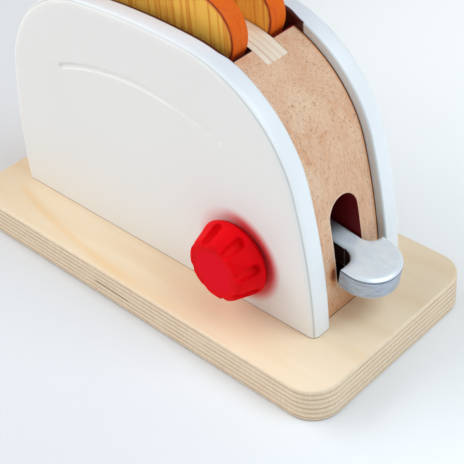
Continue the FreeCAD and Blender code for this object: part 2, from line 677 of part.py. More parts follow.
def make_lift_peg():
    """A dowel with a blunt pointed top, upright on the lever's inner end."""
    body = new_body("lift_peg")
    profile = sketch_on(body, "PegProfile", "XZ_Plane", "-Dims.peg_reach")
    foot = value("Dims.lever_thick / 2 - Dims.peg_let_in")
    high, radius, tip = value("Dims.peg_top"), value("Dims.peg_radius"), value("Dims.peg_tip")
    outline = Outline(profile)
    base = outline.line((0, foot), (radius, foot))
    side = outline.line((radius, foot), (radius, high + tip - radius))
    taper = outline.line((radius, high + tip - radius), (tip, high))
    top = outline.line((tip, high), (0, high))
    axis = outline.line((0, high), (0, foot))
    outline.close(corners=(base, side, taper, top, axis))
    for piece in (base, top):
        profile.addConstraint(Sketcher.Constraint("Horizontal", piece))
    for piece in (side, axis):
        profile.addConstraint(Sketcher.Constraint("Vertical", piece))
    profile.addConstraint(Sketcher.Constraint("PointOnObject", axis, 1, -2))
    hold_across(profile, base, 2, "Dims.peg_radius")
    hold_up(profile, base, 2, "Dims.lever_thick / 2 - Dims.peg_let_in")
    hold_up(profile, side, 2, "Dims.peg_top + Dims.peg_tip - Dims.peg_radius")
    hold_across(profile, taper, 2, "Dims.peg_tip")
    hold_up(profile, taper, 2, "Dims.peg_top")
    turned = body.newObject("PartDesign::Revolution", "PegTurning")
    turned.Profile = profile
    turned.ReferenceAxis = (profile, ["V_Axis"])
    turned.Angle = 360
    place_on_lever(body)


def make_lever_pivot():
    pin = cylinder("lever_pivot", "Dims.pivot_radius", "Dims.gap_width + 2 * Dims.pivot_let_in", axis="y")
    pin.Label = "lever_pivot"
    put(pin, "Dims.pivot_x", "%s - Dims.pivot_let_in" % GAP_FRONT, "Dims.pivot_z")
    PARTS.append(pin)


def make_lever_spacers():
    """Two tubes on the pin that keep the lever in its place across the well."""
    items = []
    for start, end in ((GAP_FRONT, "Dims.lever_y - Dims.lever_half - Dims.spacer_play"),
                       ("Dims.lever_y + Dims.lever_half + Dims.spacer_play", GAP_BACK)):
        length = "(%s) - (%s)" % (end, start)
        tube = cylinder("SpacerTube", "Dims.spacer_radius", length, axis="y")
        bore = cylinder("SpacerBore", "Dims.pivot_radius + Dims.pivot_play", length, axis="y")
        for item in (tube, bore):
            put(item, "Dims.pivot_x", start, "Dims.pivot_z")
        spacer = doc.addObject("Part::Cut", "Spacer")
        spacer.Base = tube
        spacer.Tool = bore
        items.append(spacer)
    group("lever_spacers", items)


# ---------------------------------------------------------------- carrier and guides

def make_toast_carrier():
    """The board under both slices. Its right end is a fork that straddles the lever's arm."""
    body = new_body("toast_carrier")
    plan = sketch_on(body, "CarrierPlan", "XY_Plane", None, None, "Dims.carrier_low")
    draw_rectangle(plan, "Dims.well_left + Dims.carrier_gap", "Dims.carrier_right",
                   "%s + Dims.carrier_gap" % GAP_FRONT, "%s - Dims.carrier_gap" % GAP_BACK)
    pad(body, plan, "Dims.carrier_thick", "CarrierPad")
    fork = sketch_on(body, "Fork", "XY_Plane", None, None, CARRIER_TOP)
    draw_rectangle(fork, "Dims.fork_start", "Dims.carrier_right + Dims.fork_width",
                   "Dims.lever_y - Dims.fork_width / 2", "Dims.lever_y + Dims.fork_width / 2")
    pocket(body, fork, "Dims.carrier_thick", "ForkCut")
    holes = sketch_on(body, "RodHoles", "XY_Plane", None, None, CARRIER_TOP)
    for x in ("Dims.rod_left_x", "Dims.rod_right_x"):
        draw_circle(holes, x, "Dims.gap_y", "Dims.rod_radius + Dims.rod_play")
    pocket(body, holes, "Dims.carrier_thick", "RodBores")


def make_guide_rods():
    """Two steel rods from the base to the divider. The carrier slides on them."""
    items = []
    for x in ("Dims.rod_left_x", "Dims.rod_right_x"):
        rod = cylinder("Rod", "Dims.rod_radius", "Dims.divider_low - Dims.base_thick + 2 * Dims.rod_let_in")
        put(rod, x, "Dims.gap_y", "Dims.base_thick - Dims.rod_let_in")
        items.append(rod)
    group("guide_rods", items)


# ---------------------------------------------------------------- bread

SLICE_DROP = "(Dims.toast_tall - Dims.toast_lobe_height)"
SLICE_CROWN = ("((Dims.toast_wide / 2 - Dims.toast_lobe) ^ 2 + %s ^ 2 - Dims.toast_lobe ^ 2)"
               " / (2 * (%s - Dims.toast_lobe))" % (SLICE_DROP, SLICE_DROP))


def draw_slice(sketch):
    """A bread slice: straight sides, a hollow under each lobe, and a low crown between the lobes.

    The crown's centre is as far from a lobe's centre as their radii differ, and the hollow's centre is as
    far from it as the two radii add up to.
    """
    lobe, lobe_up = value("Dims.toast_lobe"), value("Dims.toast_lobe_height")
    lobe_x = value("Dims.toast_wide") / 2 - lobe
    waist, tall = value("Dims.toast_waist") / 2, value("Dims.toast_tall")
    hollow, corner = value("Dims.toast_waist_radius"), value("Dims.toast_corner")
    crown = value(SLICE_CROWN)
    high = math.degrees(math.atan2(lobe_up - tall + crown, lobe_x))
    aside = waist + hollow - lobe_x
    hollow_up = lobe_up - math.sqrt((lobe + hollow) ** 2 - aside ** 2)
    low = math.degrees(math.atan2(hollow_up - lobe_up, aside))

    outline = Outline(sketch)
    foot = outline.line((corner - waist, 0), (waist - corner, 0))
    right_corner = outline.arc((waist - corner, corner), corner, -90, 0)
    right_side = outline.line((waist, corner), (waist, hollow_up))
    right_hollow = outline.arc((waist + hollow, hollow_up), hollow, 180, 180 + low)
    right_lobe = outline.arc((lobe_x, lobe_up), lobe, low, high)
    top = outline.arc((0, tall - crown), crown, high, 180 - high)
    left_lobe = outline.arc((-lobe_x, lobe_up), lobe, 180 - high, 180 - low)
    left_hollow = outline.arc((-waist - hollow, hollow_up), hollow, -low, 0)
    left_side = outline.line((-waist, hollow_up), (-waist, corner))
    left_corner = outline.arc((corner - waist, corner), corner, 180, 270)
    outline.close()
    sketch.addConstraint(Sketcher.Constraint("PointOnObject", foot, 1, -1))
    sketch.addConstraint(Sketcher.Constraint("Symmetric", foot, 1, foot, 2, -2))
    for side in (right_side, left_side):
        sketch.addConstraint(Sketcher.Constraint("Vertical", side))
    hold_radius(sketch, top, SLICE_CROWN)
    hold_across(sketch, foot, 2, "Dims.toast_waist / 2 - Dims.toast_corner")
    for piece in (right_corner, left_corner):
        hold_radius(sketch, piece, "Dims.toast_corner")
    for piece in (right_hollow, left_hollow):
        hold_radius(sketch, piece, "Dims.toast_waist_radius")
    for piece in (right_lobe, left_lobe):
        hold_radius(sketch, piece, "Dims.toast_lobe")
        hold_up(sketch, piece, 3, "Dims.toast_lobe_height")
    hold_across(sketch, right_lobe, 3, "Dims.toast_wide / 2 - Dims.toast_lobe")
    hold_across(sketch, left_lobe, 3, "Dims.toast_lobe - Dims.toast_wide / 2")


def make_toast(label, face, reverse):
    body = new_body(label)
    plan = sketch_on(body, "Slice", "XZ_Plane", "Dims.toast_x", "%s + Dims.toast_lift" % CARRIER_TOP, "-(%s)" % face)
    draw_slice(plan)
    pad(body, plan, "Dims.toast_thick", "SlicePad", reverse=reverse)
    near = value(face)
    far = near + value("Dims.toast_thick") * (1 if reverse else -1)
    break_edges(body, "Dims.toast_edge", "SliceArris",
                lambda edge: flat_at(edge, "y", near) or flat_at(edge, "y", far))


# ---------------------------------------------------------------- knob

def place_on_knob(item):
    """Turn a piece that is drawn with its axis along +Z so that it points out of the front panel."""
    item.Placement.Rotation = FreeCAD.Rotation(FreeCAD.Vector(1, 0, 0), 90)
    put(item, "Dims.knob_x", FRONT_FACE, "Dims.knob_z")


def make_knob():
    """The fluted knob: a turned cone with a flat front, cut by flutes.

    Each flute is cut by a round cutter whose axis is parallel to the knob's. The cone falls away towards
    the front, so a flute is deep at its back end and runs out at the front edge.
    """
    body = new_body("knob")
    profile = sketch_on(body, "KnobProfile", "XZ_Plane")
    stand, height = value("Dims.knob_stand"), value("Dims.knob_height")
    rim, rim_up = value("Dims.knob_rim_radius"), value("Dims.knob_rim_height")
    back, front = value("Dims.knob_back_radius"), value("Dims.knob_front_radius")
    outline = Outline(profile)
    foot = outline.line((0, stand), (back, stand))
    bevel = outline.line((back, stand), (rim, rim_up))
    cone = outline.line((rim, rim_up), (front, height))
    face = outline.line((front, height), (0, height))
    axis = outline.line((0, height), (0, stand))
    outline.close(corners=(foot, bevel, cone, face, axis))
    for piece in (foot, face):
        profile.addConstraint(Sketcher.Constraint("Horizontal", piece))
    for end in (1, 2):
        profile.addConstraint(Sketcher.Constraint("PointOnObject", axis, end, -2))
    hold_across(profile, foot, 2, "Dims.knob_back_radius")
    hold_up(profile, foot, 2, "Dims.knob_stand")
    hold_across(profile, bevel, 2, "Dims.knob_rim_radius")
    hold_up(profile, bevel, 2, "Dims.knob_rim_height")
    hold_across(profile, cone, 2, "Dims.knob_front_radius")
    hold_up(profile, cone, 2, "Dims.knob_height")
    turned = body.newObject("PartDesign::Revolution", "KnobTurning")
    turned.Profile = profile
    turned.ReferenceAxis = (profile, ["V_Axis"])
    turned.Angle = 360
    doc.recompute()
    break_edges(body, "Dims.knob_edge", "FrontEdge",
                lambda edge: flat_at(edge, "z", height) and edge.Curve.TypeId == "Part::GeomCircle")

    cutter = sketch_on(body, "FluteCutter", "XY_Plane", None, None, "Dims.flute_stop")
    draw_circle(cutter, "Dims.flute_reach", "0", "Dims.flute_radius")
    flute = pocket(body, cutter, "Dims.knob_height", "Flute", reverse=True)
    pattern = body.newObject("PartDesign::PolarPattern", "Flutes")
    pattern.Originals = [flute]
    pattern.Axis = (origin_feature(body, "Z_Axis"), [""])
    pattern.Angle = 360
    pattern.setExpression("Occurrences", "Dims.flute_count")
    body.Tip = pattern
    doc.recompute()

    bore = sketch_on(body, "ShaftHole", "XY_Plane", None, None, "Dims.knob_stand")
    draw_circle(bore, "0", "0", "Dims.shaft_radius")
    pocket(body, bore, "Dims.shaft_in_knob", "ShaftSocket", reverse=True)
    place_on_knob(body)
    turn = FreeCAD.Rotation(FreeCAD.Vector(0, 0, 1), value("Dims.flute_angle"))
    body.Placement.Rotation = body.Placement.Rotation.multiply(turn)


def tube_on_knob(label, outer, inner, low, high):
    """A ring or rod round the knob's axis, between two heights above the panel."""
    body = new_body(label)
    plan = sketch_on(body, "Ring", "XY_Plane", None, None, low)
    draw_circle(plan, "0", "0", outer)
    if inner is not None:
        draw_circle(plan, "0", "0", inner)
    pad(body, plan, "(%s) - (%s)" % (high, low), "RingPad")
    place_on_knob(body)
    return body


def make_knob_fittings():
    behind = "(-Dims.panel_thick - Dims.shaft_proud)"
    shaft = tube_on_knob("knob_shaft", "Dims.shaft_radius", None, behind,
                         "Dims.knob_stand + Dims.shaft_in_knob")
    pilot = sketch_on(shaft, "ScrewPilot", "XY_Plane", None, None, behind)
    draw_circle(pilot, "0", "0", "Dims.knob_screw_radius")
    pocket(shaft, pilot, "Dims.knob_screw_length", "PilotBore", reverse=True)

    tube_on_knob("knob_felt", "Dims.felt_radius", "Dims.shaft_radius",
                 "Dims.knob_stand - Dims.felt_thick", "Dims.knob_stand")
    washer_back = "(%s - Dims.washer_thick)" % behind
    tube_on_knob("knob_washer", "Dims.washer_radius", "Dims.knob_screw_radius + Dims.washer_play", washer_back, behind)

    screw = tube_on_knob("knob_screw", "Dims.knob_screw_radius", None, washer_back,
                         "%s + Dims.knob_screw_length - Dims.knob_screw_short" % behind)
    head = sketch_on(screw, "HeadProfile", "XY_Plane", None, None,
                     "%s - Dims.knob_screw_head_height" % washer_back)
    draw_circle(head, "0", "0", "Dims.knob_screw_head")
    pad(screw, head, "Dims.knob_screw_head_height", "HeadPad")


# ---------------------------------------------------------------- assembly

make_base_plate()
make_panel("front_panel", front=True)
make_panel("back_panel", front=False)
make_block("end_block_right", right=True)
make_block("end_block_left", right=False)
make_divider()
make_panel_dowels()
make_base_screws()
make_lever_pivot()
make_lever_spacers()
make_lever()
make_lift_peg()
make_toast_carrier()
make_guide_rods()
make_toast("toast_front", "%s - Dims.toast_play" % DIVIDER_FRONT, reverse=False)
make_toast("toast_rear", "%s + Dims.toast_play" % DIVIDER_BACK, reverse=True)
make_knob()
make_knob_fittings()
doc.recompute()

for item in doc.Objects:
    if "Invalid" in item.State or "Error" in item.State:
        raise ValueError("%s failed" % item.Label)
for item in PARTS:
    if item.Shape.isNull() or not item.Shape.isValid():
        raise ValueError("%s has no valid shape" % item.Label)

os.makedirs("parts", exist_ok=True)
for item in PARTS:
    item.Shape.exportStep("parts/%s.step" % item.Label)
    box = item.Shape.BoundBox
    print("%-16s solids %d volume %9.1f  x %7.2f %7.2f  y %7.2f %7.2f  z %7.2f %7.2f" % (
        item.Label, len(item.Shape.Solids), item.Shape.Volume,
        box.XMin, box.XMax, box.YMin, box.YMax, box.ZMin, box.ZMax))
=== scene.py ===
"""Looks of a wooden pop-up toy toaster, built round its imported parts.

The toaster stands on a plywood base, +X towards the lever, -Y towards the knob and +Z up. Two white arched
panels hold a wood block at each end, and a plywood divider between them splits the well into two bread
slots. All lengths are metres.
"""
import logging
import math
from dataclasses import dataclass, field
from enum import Enum

import bmesh
import bpy
import numpy as np
from bpy.types import Material, Node, NodeSocket, Object, World
from mathutils import Matrix, Vector


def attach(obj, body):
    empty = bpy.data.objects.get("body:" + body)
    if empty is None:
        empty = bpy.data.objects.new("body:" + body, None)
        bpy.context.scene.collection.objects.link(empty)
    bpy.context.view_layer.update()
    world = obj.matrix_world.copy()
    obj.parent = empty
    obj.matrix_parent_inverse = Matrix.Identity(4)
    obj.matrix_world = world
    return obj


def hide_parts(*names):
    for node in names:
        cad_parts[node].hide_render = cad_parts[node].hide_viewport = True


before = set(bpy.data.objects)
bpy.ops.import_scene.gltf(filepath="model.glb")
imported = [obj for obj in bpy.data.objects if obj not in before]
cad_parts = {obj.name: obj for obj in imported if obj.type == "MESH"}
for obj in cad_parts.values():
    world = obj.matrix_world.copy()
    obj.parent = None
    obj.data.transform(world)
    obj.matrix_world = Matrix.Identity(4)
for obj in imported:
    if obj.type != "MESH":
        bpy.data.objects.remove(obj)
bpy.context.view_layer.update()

log = logging.getLogger("toaster")

Colour = tuple[float, float, float, float]
Pair = tuple[float, float]
Point = tuple[float, float, float]

MM = 0.001
WELD = 1e-6  # points nearer than this are one
SMOOTH_ANGLE = 32.0  # degrees, for edges that stay sharp in the shading
SOFT_ANGLE = 40.0  # degrees, for edges that are rounded
SOFT_FACETS = 2
ROD_POINTS = 96
NOISE_SPAN = (0.3, 0.7)  # most of a noise lies in this range

# Places that more than one piece or finish goes by.
FOOT_Z = 18 * MM
MIDDLE_Y = 3.5 * MM
WELL = (-53 * MM, 45 * MM)
WELL_MIDDLE, WELL_HALF = (WELL[0] + WELL[1]) / 2, (WELL[1] - WELL[0]) / 2
BLOCK_SIDES = (-17 * MM, 24 * MM)
DIVIDER_SIDES = (-2.5 * MM, 10.5 * MM)
SLOT_Y, SLOT_HALF = 3.45 * MM, 9.15 * MM
SLOT_LOW, SLOT_HIGH = 36.65 * MM, 65.85 * MM
PANEL_FACES = (-27.5 * MM, 34.5 * MM)
KNOB_AXIS = (52.6 * MM, 45.3 * MM)
KNOB_RIM = (19.15 * MM, 3.17 * MM)
PIVOT = (39.5 * MM, 6.5 * MM, 51.65 * MM)
SLOPE = math.radians(9.4)


class Side(Enum):
    """The two long sides of the toaster."""

    FRONT = -1
    BACK = 1


class End(Enum):
    """The two short ends of the toaster."""

    LEFT = -1
    RIGHT = 1


def srgb(red: int, green: int, blue: int) -> Colour:
    """Turn a screen colour, 0 to 255, into the linear one that shaders take, by the screen's curve."""
    channels = (value / 255 for value in (red, green, blue))
    return (*(c / 12.92 if c <= 0.04045 else ((c + 0.055) / 1.055) ** 2.4 for c in channels), 1.0)


# ------------------------------------------------------------------ surfaces

def arc(centre: Pair | np.ndarray, radius: float, start: float, end: float, count: int) -> np.ndarray:
    """Points on a circle: the centre plus the radius times cosine and sine of an evenly stepped angle.

    Args:
        centre: Centre of the circle.
        radius: Radius of the circle.
        start: First angle, in degrees.
        end: Last angle, in degrees.
        count: Number of points, both ends included.

    Returns:
        An array of shape (count, 2).
    """
    angle = np.radians(np.linspace(start, end, count))
    return np.stack([centre[0] + radius * np.cos(angle), centre[1] + radius * np.sin(angle)], axis=-1)


def run(start: Pair | np.ndarray, end: Pair | np.ndarray, count: int) -> np.ndarray:
    """Points at even steps between two others, without the two themselves."""
    steps = np.linspace(0, 1, count + 2)[1:-1, None]
    return np.asarray(start) * (1 - steps) + np.asarray(end) * steps


def ruled(first: np.ndarray, second: np.ndarray, rows: int) -> np.ndarray:
    """A ruled surface of so many rows: each blends two curves at an even step from one to the other."""
    steps = np.linspace(0, 1, rows)[:, None, None]
    return first[None] * (1 - steps) + second[None] * steps


def rounded(across: float, down: float, count: int, full: float = 2.0) -> np.ndarray:
    """Profile of a rounded edge: a quarter of a superellipse.

    Cosine and sine of an evenly stepped angle are raised to two over the exponent.

    Args:
        across: How far the rounding reaches into the flat face.
        down: How far it reaches down the side.
        count: Number of points.
        full: Exponent: 2 is an ellipse, and more is fuller towards the corner.

    Returns:
        Inset from the side and depth under the face, (count, 2), from the face to the side.
    """
    angle = np.radians(np.linspace(90, 0, count))
    bulge = [np.clip(wave, 0, 1) ** (2 / full) for wave in (np.cos(angle), np.sin(angle))]
    return np.stack([across * (1 - bulge[0]), down * (1 - bulge[1])], axis=-1)


def edged(top: float, edge: np.ndarray, bottom: float, other: np.ndarray) -> list[Pair]:
    """Where the rings over a board's two rounded edges lie, from one face to the other.

    Args:
        top: Place of the first face.
        edge: Insets and depths of the rounding at that face.
        bottom: Place of the other face.
        other: Insets and depths of the rounding there.

    Returns:
        Inset and place of each ring.
    """
    way = math.copysign(1, bottom - top)
    return [(inset, top + way * down) for inset, down in edge] + [
        (inset, bottom - way * down) for inset, down in other[::-1]]


def solid(name: str, *surfaces: np.ndarray, around: bool = True) -> Object:
    """Make a piece from surfaces, with quads between neighbouring points.

    Rows that meet in a point or a seam are welded, so that the piece closes.

    Args:
        name: Name of the piece.
        surfaces: Grids of points, (rows, columns, 3).
        around: Whether the last column of the first grid joins its first column.

    Returns:
        The object, with its faces pointing outwards.
    """
    quads, count = [], 0
    for surface in surfaces:
        rows, columns, _ = surface.shape
        index = np.arange(rows * columns).reshape(rows, columns) + count
        if around and not count:
            index = np.concatenate([index, index[:, :1]], axis=1)
        corners = (index[:-1, :-1], index[:-1, 1:], index[1:, 1:], index[1:, :-1])
        quads.append(np.stack(corners, axis=-1).reshape(-1, 4))
        count += rows * columns
    points = np.concatenate([surface.reshape(-1, 3) for surface in surfaces])
    mesh = bpy.data.meshes.new(name)
    mesh.from_pydata(points.tolist(), [], np.concatenate(quads).tolist())
    body = bmesh.new()
    body.from_mesh(mesh)
    bmesh.ops.remove_doubles(body, verts=body.verts, dist=WELD)
    bmesh.ops.dissolve_degenerate(body, edges=body.edges, dist=WELD)
    bmesh.ops.recalc_face_normals(body, faces=body.faces)
    body.to_mesh(mesh)
    body.free()
    piece = bpy.data.objects.new(name, mesh)
    bpy.context.scene.collection.objects.link(piece)
    return piece


def bake(piece: Object) -> None:
    """Replace a piece's mesh by the one that its modifiers give.

    Args:
        piece: The piece, which keeps no modifier.
    """
    seen = piece.evaluated_get(bpy.context.evaluated_depsgraph_get())
    mesh = bpy.data.meshes.new_from_object(seen)
    piece.modifiers.clear()
    piece.data = mesh
    mesh.name = piece.name


def carve(piece: Object, *cutters: Object) -> None:
    """Cut solids out of a piece, and remove the solids.

    Args:
        piece: The piece that is cut.
        cutters: Closed solids that reach a little beyond the faces that they open.
    """
    for cutter in cutters:
        cut = piece.modifiers.new("Cut", "BOOLEAN")
        cut.operation = "DIFFERENCE"
        cut.solver = "EXACT"
        cut.object = cutter
    bake(piece)
    for cutter in cutters:
        bpy.data.objects.remove(cutter)


def soften(piece: Object, width: float) -> None:
    """Round the sharp edges of a piece a little.

    Args:
        piece: The piece.
        width: How far the rounding reaches from the edge.
    """
    edge = piece.modifiers.new("Edge", "BEVEL")
    edge.width = width
    edge.segments = SOFT_FACETS
    edge.limit_method = "ANGLE"
    edge.angle_limit = math.radians(SOFT_ANGLE)
    edge.use_clamp_overlap = True
    bake(piece)


def rod(start: Vector, end: Vector, radius: float, far_radius: float | None = None) -> Object:
    """A closed cylinder or cone between two points: circles of points round the line, closed to both ends.

    Args:
        start: Middle of the first end.
        end: Middle of the other end.
        radius: Radius at the first end.
        far_radius: Radius at the other end, where it differs.

    Returns:
        The solid.
    """
    along = (end - start).normalized()
    across = along.orthogonal().normalized()
    angle = np.linspace(0, 2 * np.pi, ROD_POINTS, endpoint=False)[:, None]
    wheel = np.cos(angle) * np.array(across) + np.sin(angle) * np.array(along.cross(across))
    radii = (0, radius, radius if far_radius is None else far_radius, 0)
    return solid("Rod", np.stack([np.array(middle) + size * wheel
                                  for middle, size in zip((start, start, end, end), radii)]))


def dress(piece: Object, material: Material, body: str, slot: str, *nodes: str,
          angle: float = SMOOTH_ANGLE) -> None:
    """Shade and paint a piece, and let it ride on its body and stand for its nodes.

    Args:
        piece: The piece.
        material: What it is painted with.
        body: Body that it rides on.
        slot: Material slot of the record. It is not used.
        nodes: Nodes that it stands for.
        angle: Edges sharper than this stay sharp, in degrees.
    """
    piece.data.shade_smooth()
    piece.data.set_sharp_from_angle(angle=math.radians(angle))
    piece.data.materials.clear()
    piece.data.materials.append(material)
    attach(piece, body)
    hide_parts(*nodes)
    log.info("%s stands for %s", piece.name, ", ".join(nodes))


# ------------------------------------------------------------------ finishes

class Value:
    """A number or a colour that a node gives. Arithmetic on it adds further nodes."""

    def __init__(self, nodes: "Nodes", socket: NodeSocket) -> None:
        """Take a node's output."""
        self.nodes, self.socket = nodes, socket

    def __add__(self, other: object) -> "Value":
        """The sum."""
        return self.nodes.maths("ADD", self, other)

    def __sub__(self, other: object) -> "Value":
        """The difference."""
        return self.nodes.maths("SUBTRACT", self, other)

    def __rsub__(self, other: object) -> "Value":
        """The difference from a number."""
        return self.nodes.maths("SUBTRACT", other, self)

    def __mul__(self, other: object) -> "Value":
        """The product."""
        return self.nodes.maths("MULTIPLY", self, other)

    def __abs__(self) -> "Value":
        """The size without the sign."""
        return self.nodes.maths("ABSOLUTE", self)

    def most(self, other: object) -> "Value":
        """The larger of the two."""
        return self.nodes.maths("MAXIMUM", self, other)

    def length(self, other: "Value") -> "Value":
        """The root of the sum of both squares."""
        return self.nodes.maths("SQRT", self * self + other * other)

    def step(self, low: float, high: float, to_low: float = 0.0, to_high: float = 1.0) -> "Value":
        """Turn a range of the value smoothly into another range.

        Args:
            low: Where the change starts.
            high: Where it ends.
            to_low: Result at the start.
            to_high: Result at the end.

        Returns:
            The result, level outside the range.
        """
        inputs = {"Value": self, "From Min": low, "From Max": high, "To Min": to_low, "To Max": to_high}
        return self.nodes.value("MapRange", inputs, interpolation_type="SMOOTHSTEP")

    def coats(self, *coats: tuple["Value", object]) -> "Value":
        """Lay others over this colour in turn.

        Args:
            coats: Pairs of a share and a colour.

        Returns:
            The colour on top.
        """
        colour = self
        for share, coat in coats:
            colour = self.nodes.mix(share, colour, coat)
        return colour


class Nodes:
    """A node tree while it is being made."""

    def __init__(self, owner: Material | World) -> None:
        """Start an empty tree.

        Args:
            owner: What the tree belongs to.
        """
        owner.use_nodes = True
        self.tree = owner.node_tree
        self.tree.nodes.clear()

    def feed(self, socket: NodeSocket, value: object) -> None:
        """Give a socket its value.

        Args:
            socket: The socket.
            value: A constant, or what another node gives.
        """
        if isinstance(value, Value):
            self.tree.links.new(value.socket, socket)
        else:
            socket.default_value = value

    def node(self, kind: str, inputs: dict | None = None, **settings: object) -> Node:
        """Add a node.

        Args:
            kind: Type of the node, without its prefix.
            inputs: Input name or number, and its value.
            settings: Properties of the node.

        Returns:
            The node.
        """
        node = self.tree.nodes.new("ShaderNode" + kind)
        for name, setting in settings.items():
            setattr(node, name, setting)
        for name, value in (inputs or {}).items():
            self.feed(node.inputs[name], value)
        return node

    def value(self, kind: str, inputs: dict | None = None, output: int | str = 0,
              **settings: object) -> Value:
        """Add a node, and take one of its outputs."""
        return Value(self, self.node(kind, inputs, **settings).outputs[output])

    def maths(self, operation: str, first: object, second: object = 0.0) -> Value:
        """The result of an operation on one or two values."""
        return self.value("Math", {0: first, 1: second}, operation=operation)

    def mix(self, share: object, first: object, second: object) -> Value:
        """Mix two colours by the second's share."""
        return self.value("Mix", {0: share, 6: first, 7: second}, 2, data_type="RGBA", clamp_factor=True)


class Sheet(Nodes):
    """A material with a principled shader while it is being made."""

    def __init__(self, name: str) -> None:
        """Start the material.

        Args:
            name: Its name.
        """
        self.material = bpy.data.materials.new(name)
        super().__init__(self.material)
        self.shader = self.node("BsdfPrincipled")
        self.surface = Value(self, self.shader.outputs["BSDF"])
        self.output = self.node("OutputMaterial", {"Surface": self.surface})
        self.own = self.value("TexCoord", output="Object")

    def parts(self, vector: Value) -> list[Value]:
        """The parts of a vector along X, Y and Z."""
        return [Value(self, part) for part in self.node("SeparateXYZ", {0: vector}).outputs]

    def place(self) -> list[Value]:
        """The piece's own coordinates along X, Y and Z."""
        return self.parts(self.own)

    def normal(self) -> list[Value]:
        """The outward direction along X, Y and Z."""
        return self.parts(self.value("NewGeometry", output="Normal"))

    def stretched(self, scale: Point | float, turn: Point = (0, 0, 0), start: Point = (0, 0, 0)) -> Value:
        """Scaled coordinates.

        Args:
            scale: Features per metre, along X, Y and Z where they differ.
            turn: Turn about X, Y and Z, in degrees.
            start: Shift of the pattern.

        Returns:
            The coordinates.
        """
        return self.value("Mapping", {
            "Vector": self.own, "Location": start, "Rotation": tuple(math.radians(angle) for angle in turn),
            "Scale": scale if isinstance(scale, tuple) else (scale, scale, scale)})

    def noise(self, scale: Point | float, detail: float, rough: float = 0.5, warp: float = 0.0,
              **place: Point) -> Value:
        """Smooth noise.

        Args:
            scale: Features per metre, along X, Y and Z where they differ.
            detail: Number of finer layers.
            rough: Strength of the finer layers.
            warp: How far the noise twists itself.
            place: Turn and start of the pattern.

        Returns:
            A value about 0.5.
        """
        return self.value("TexNoise", {"Vector": self.stretched(scale, **place), "Scale": 1.0,
                                       "Detail": detail, "Roughness": rough, "Distortion": warp})

    def bump(self, height: Value, distance: float) -> None:
        """Let a pattern rough up the surface, by a height in metres that 1 in it stands for."""
        self.feed(self.shader.inputs["Normal"],
                  self.value("Bump", {"Height": height, "Distance": distance, "Strength": 1.0}))

    def finish(self, colour: Value, roughness: object, **others: object) -> Material:
        """Set the shader's values.

        Args:
            colour: Base colour.
            roughness: Roughness.
            others: Other inputs, with _ for each space in their names.

        Returns:
            The finished material.
        """
        self.feed(self.shader.inputs["Base Color"], colour)
        self.feed(self.shader.inputs["Roughness"], roughness)
        for name, value in others.items():
            self.feed(self.shader.inputs[name.replace("_", " ")], value)
        return self.material


@dataclass(frozen=True)
class Plywood:
    """Clear lacquered birch plywood that lies flat, as a solid pattern: every ply has its own grain."""

    thick: float = FOOT_Z
    plies: int = 13
    face_light: Colour = srgb(243, 224, 197)
    face_dark: Colour = srgb(237, 212, 178)
    streak: Colour = srgb(240, 198, 136)
    edge_light: Colour = srgb(242, 222, 194)
    edge_dark: Colour = srgb(206, 174, 142)
    # painted shade: the sole colour darkens the bottom strip of the edges, where the base meets the floor
    sole: Colour = srgb(150, 112, 88)
    crack: Colour = srgb(104, 60, 30)
    gap_ends: Pair = (-22 * MM, 4 * MM)
    gap_heights: Pair = (8.3 * MM, 7.5 * MM)
    side_y: float = -55 * MM
    streak_bend: Point = (1.3115, -0.0285, -51.46 * MM)
    streak_ends: Pair = (-104 * MM, 10 * MM)
    streak_reach: float = 3.84 * MM

    def material(self) -> Material:
        """Paint the plies.

        The ply number is the height over the thickness of a ply. A ply is dark on its edge where the sine of
        its number is below zero, and the outer plies show the face's grain. The streak on the upper face is
        as far along Y as a parabola of X, and the core gap is a short slot on one side.

        Returns:
            The material.
        """
        sheet = Sheet("BirchPlywood")
        x, y, z = sheet.place()
        number = z * (self.plies / self.thick) + (sheet.noise((4, 4, 40), 2.0) - 0.5) * 0.3
        dark = sheet.maths("SINE", number * math.pi).step(-0.1, -0.95)
        fibres = sheet.noise((900, 900, 260), 3.0, 0.6)
        blotch = sheet.noise((60, 60, 500), 2.0, start=(0.0, 0.6, 0.2))
        left, right = self.gap_ends
        high, low = self.gap_heights
        gap = abs(z - ((x - left) * ((low - high) / (right - left)) + high)).step(0.5 * MM, 0.2 * MM)
        gap = gap * y.step(self.side_y + 2 * MM, self.side_y + 1 * MM)
        gap = gap * x.step(left, left + 3 * MM) * x.step(right, right - 3 * MM)
        edge = sheet.mix(dark * blotch.step(0.3, 0.6, 0.5, 1.0), self.edge_light, self.edge_dark).coats(
            (fibres.step(0.3, 0.75, 0.0, 0.3), self.edge_dark),
            # painted shade along the bottom of the edges, where the base meets the floor
            (z.step(1.1 * MM, 0.4 * MM, 0.0, 0.75), self.sole),
            (gap * 0.95, self.crack))

        cathedral = sheet.noise((9, 60, 60), 2.0, 0.45, 0.3)
        grain = sheet.noise((60, 900, 900), 4.0, 0.6)
        flame = sheet.noise((7, 42, 42), 1.0, 0.4, 0.2, start=(0.3, 0.9, 0.0))
        bend, slope, level = self.streak_bend
        start, end = self.streak_ends
        drawn = abs(y - ((x * bend + slope) * x + level)).step(self.streak_reach, 0.0, 0.0, 0.45)
        drawn = drawn * x.step(start, start + 12 * MM) * x.step(end, end - 20 * MM) * z.step(0.0, self.thick)
        face = sheet.mix(cathedral.step(*NOISE_SPAN), self.face_light, self.face_dark).coats(
            (grain.step(0.45, 0.8, 0.0, 0.25), self.face_dark),
            (flame.step(0.62, 0.76, 0.0, 0.35), self.streak),
            (drawn, self.streak))
        colour = sheet.mix(abs(sheet.normal()[2]).step(0.72, 0.9), edge, face)
        sheet.bump(grain + dark * -0.6, 0.06 * MM)
        return sheet.finish(colour, fibres.step(*NOISE_SPAN, 0.42, 0.56), Specular_IOR_Level=0.4)


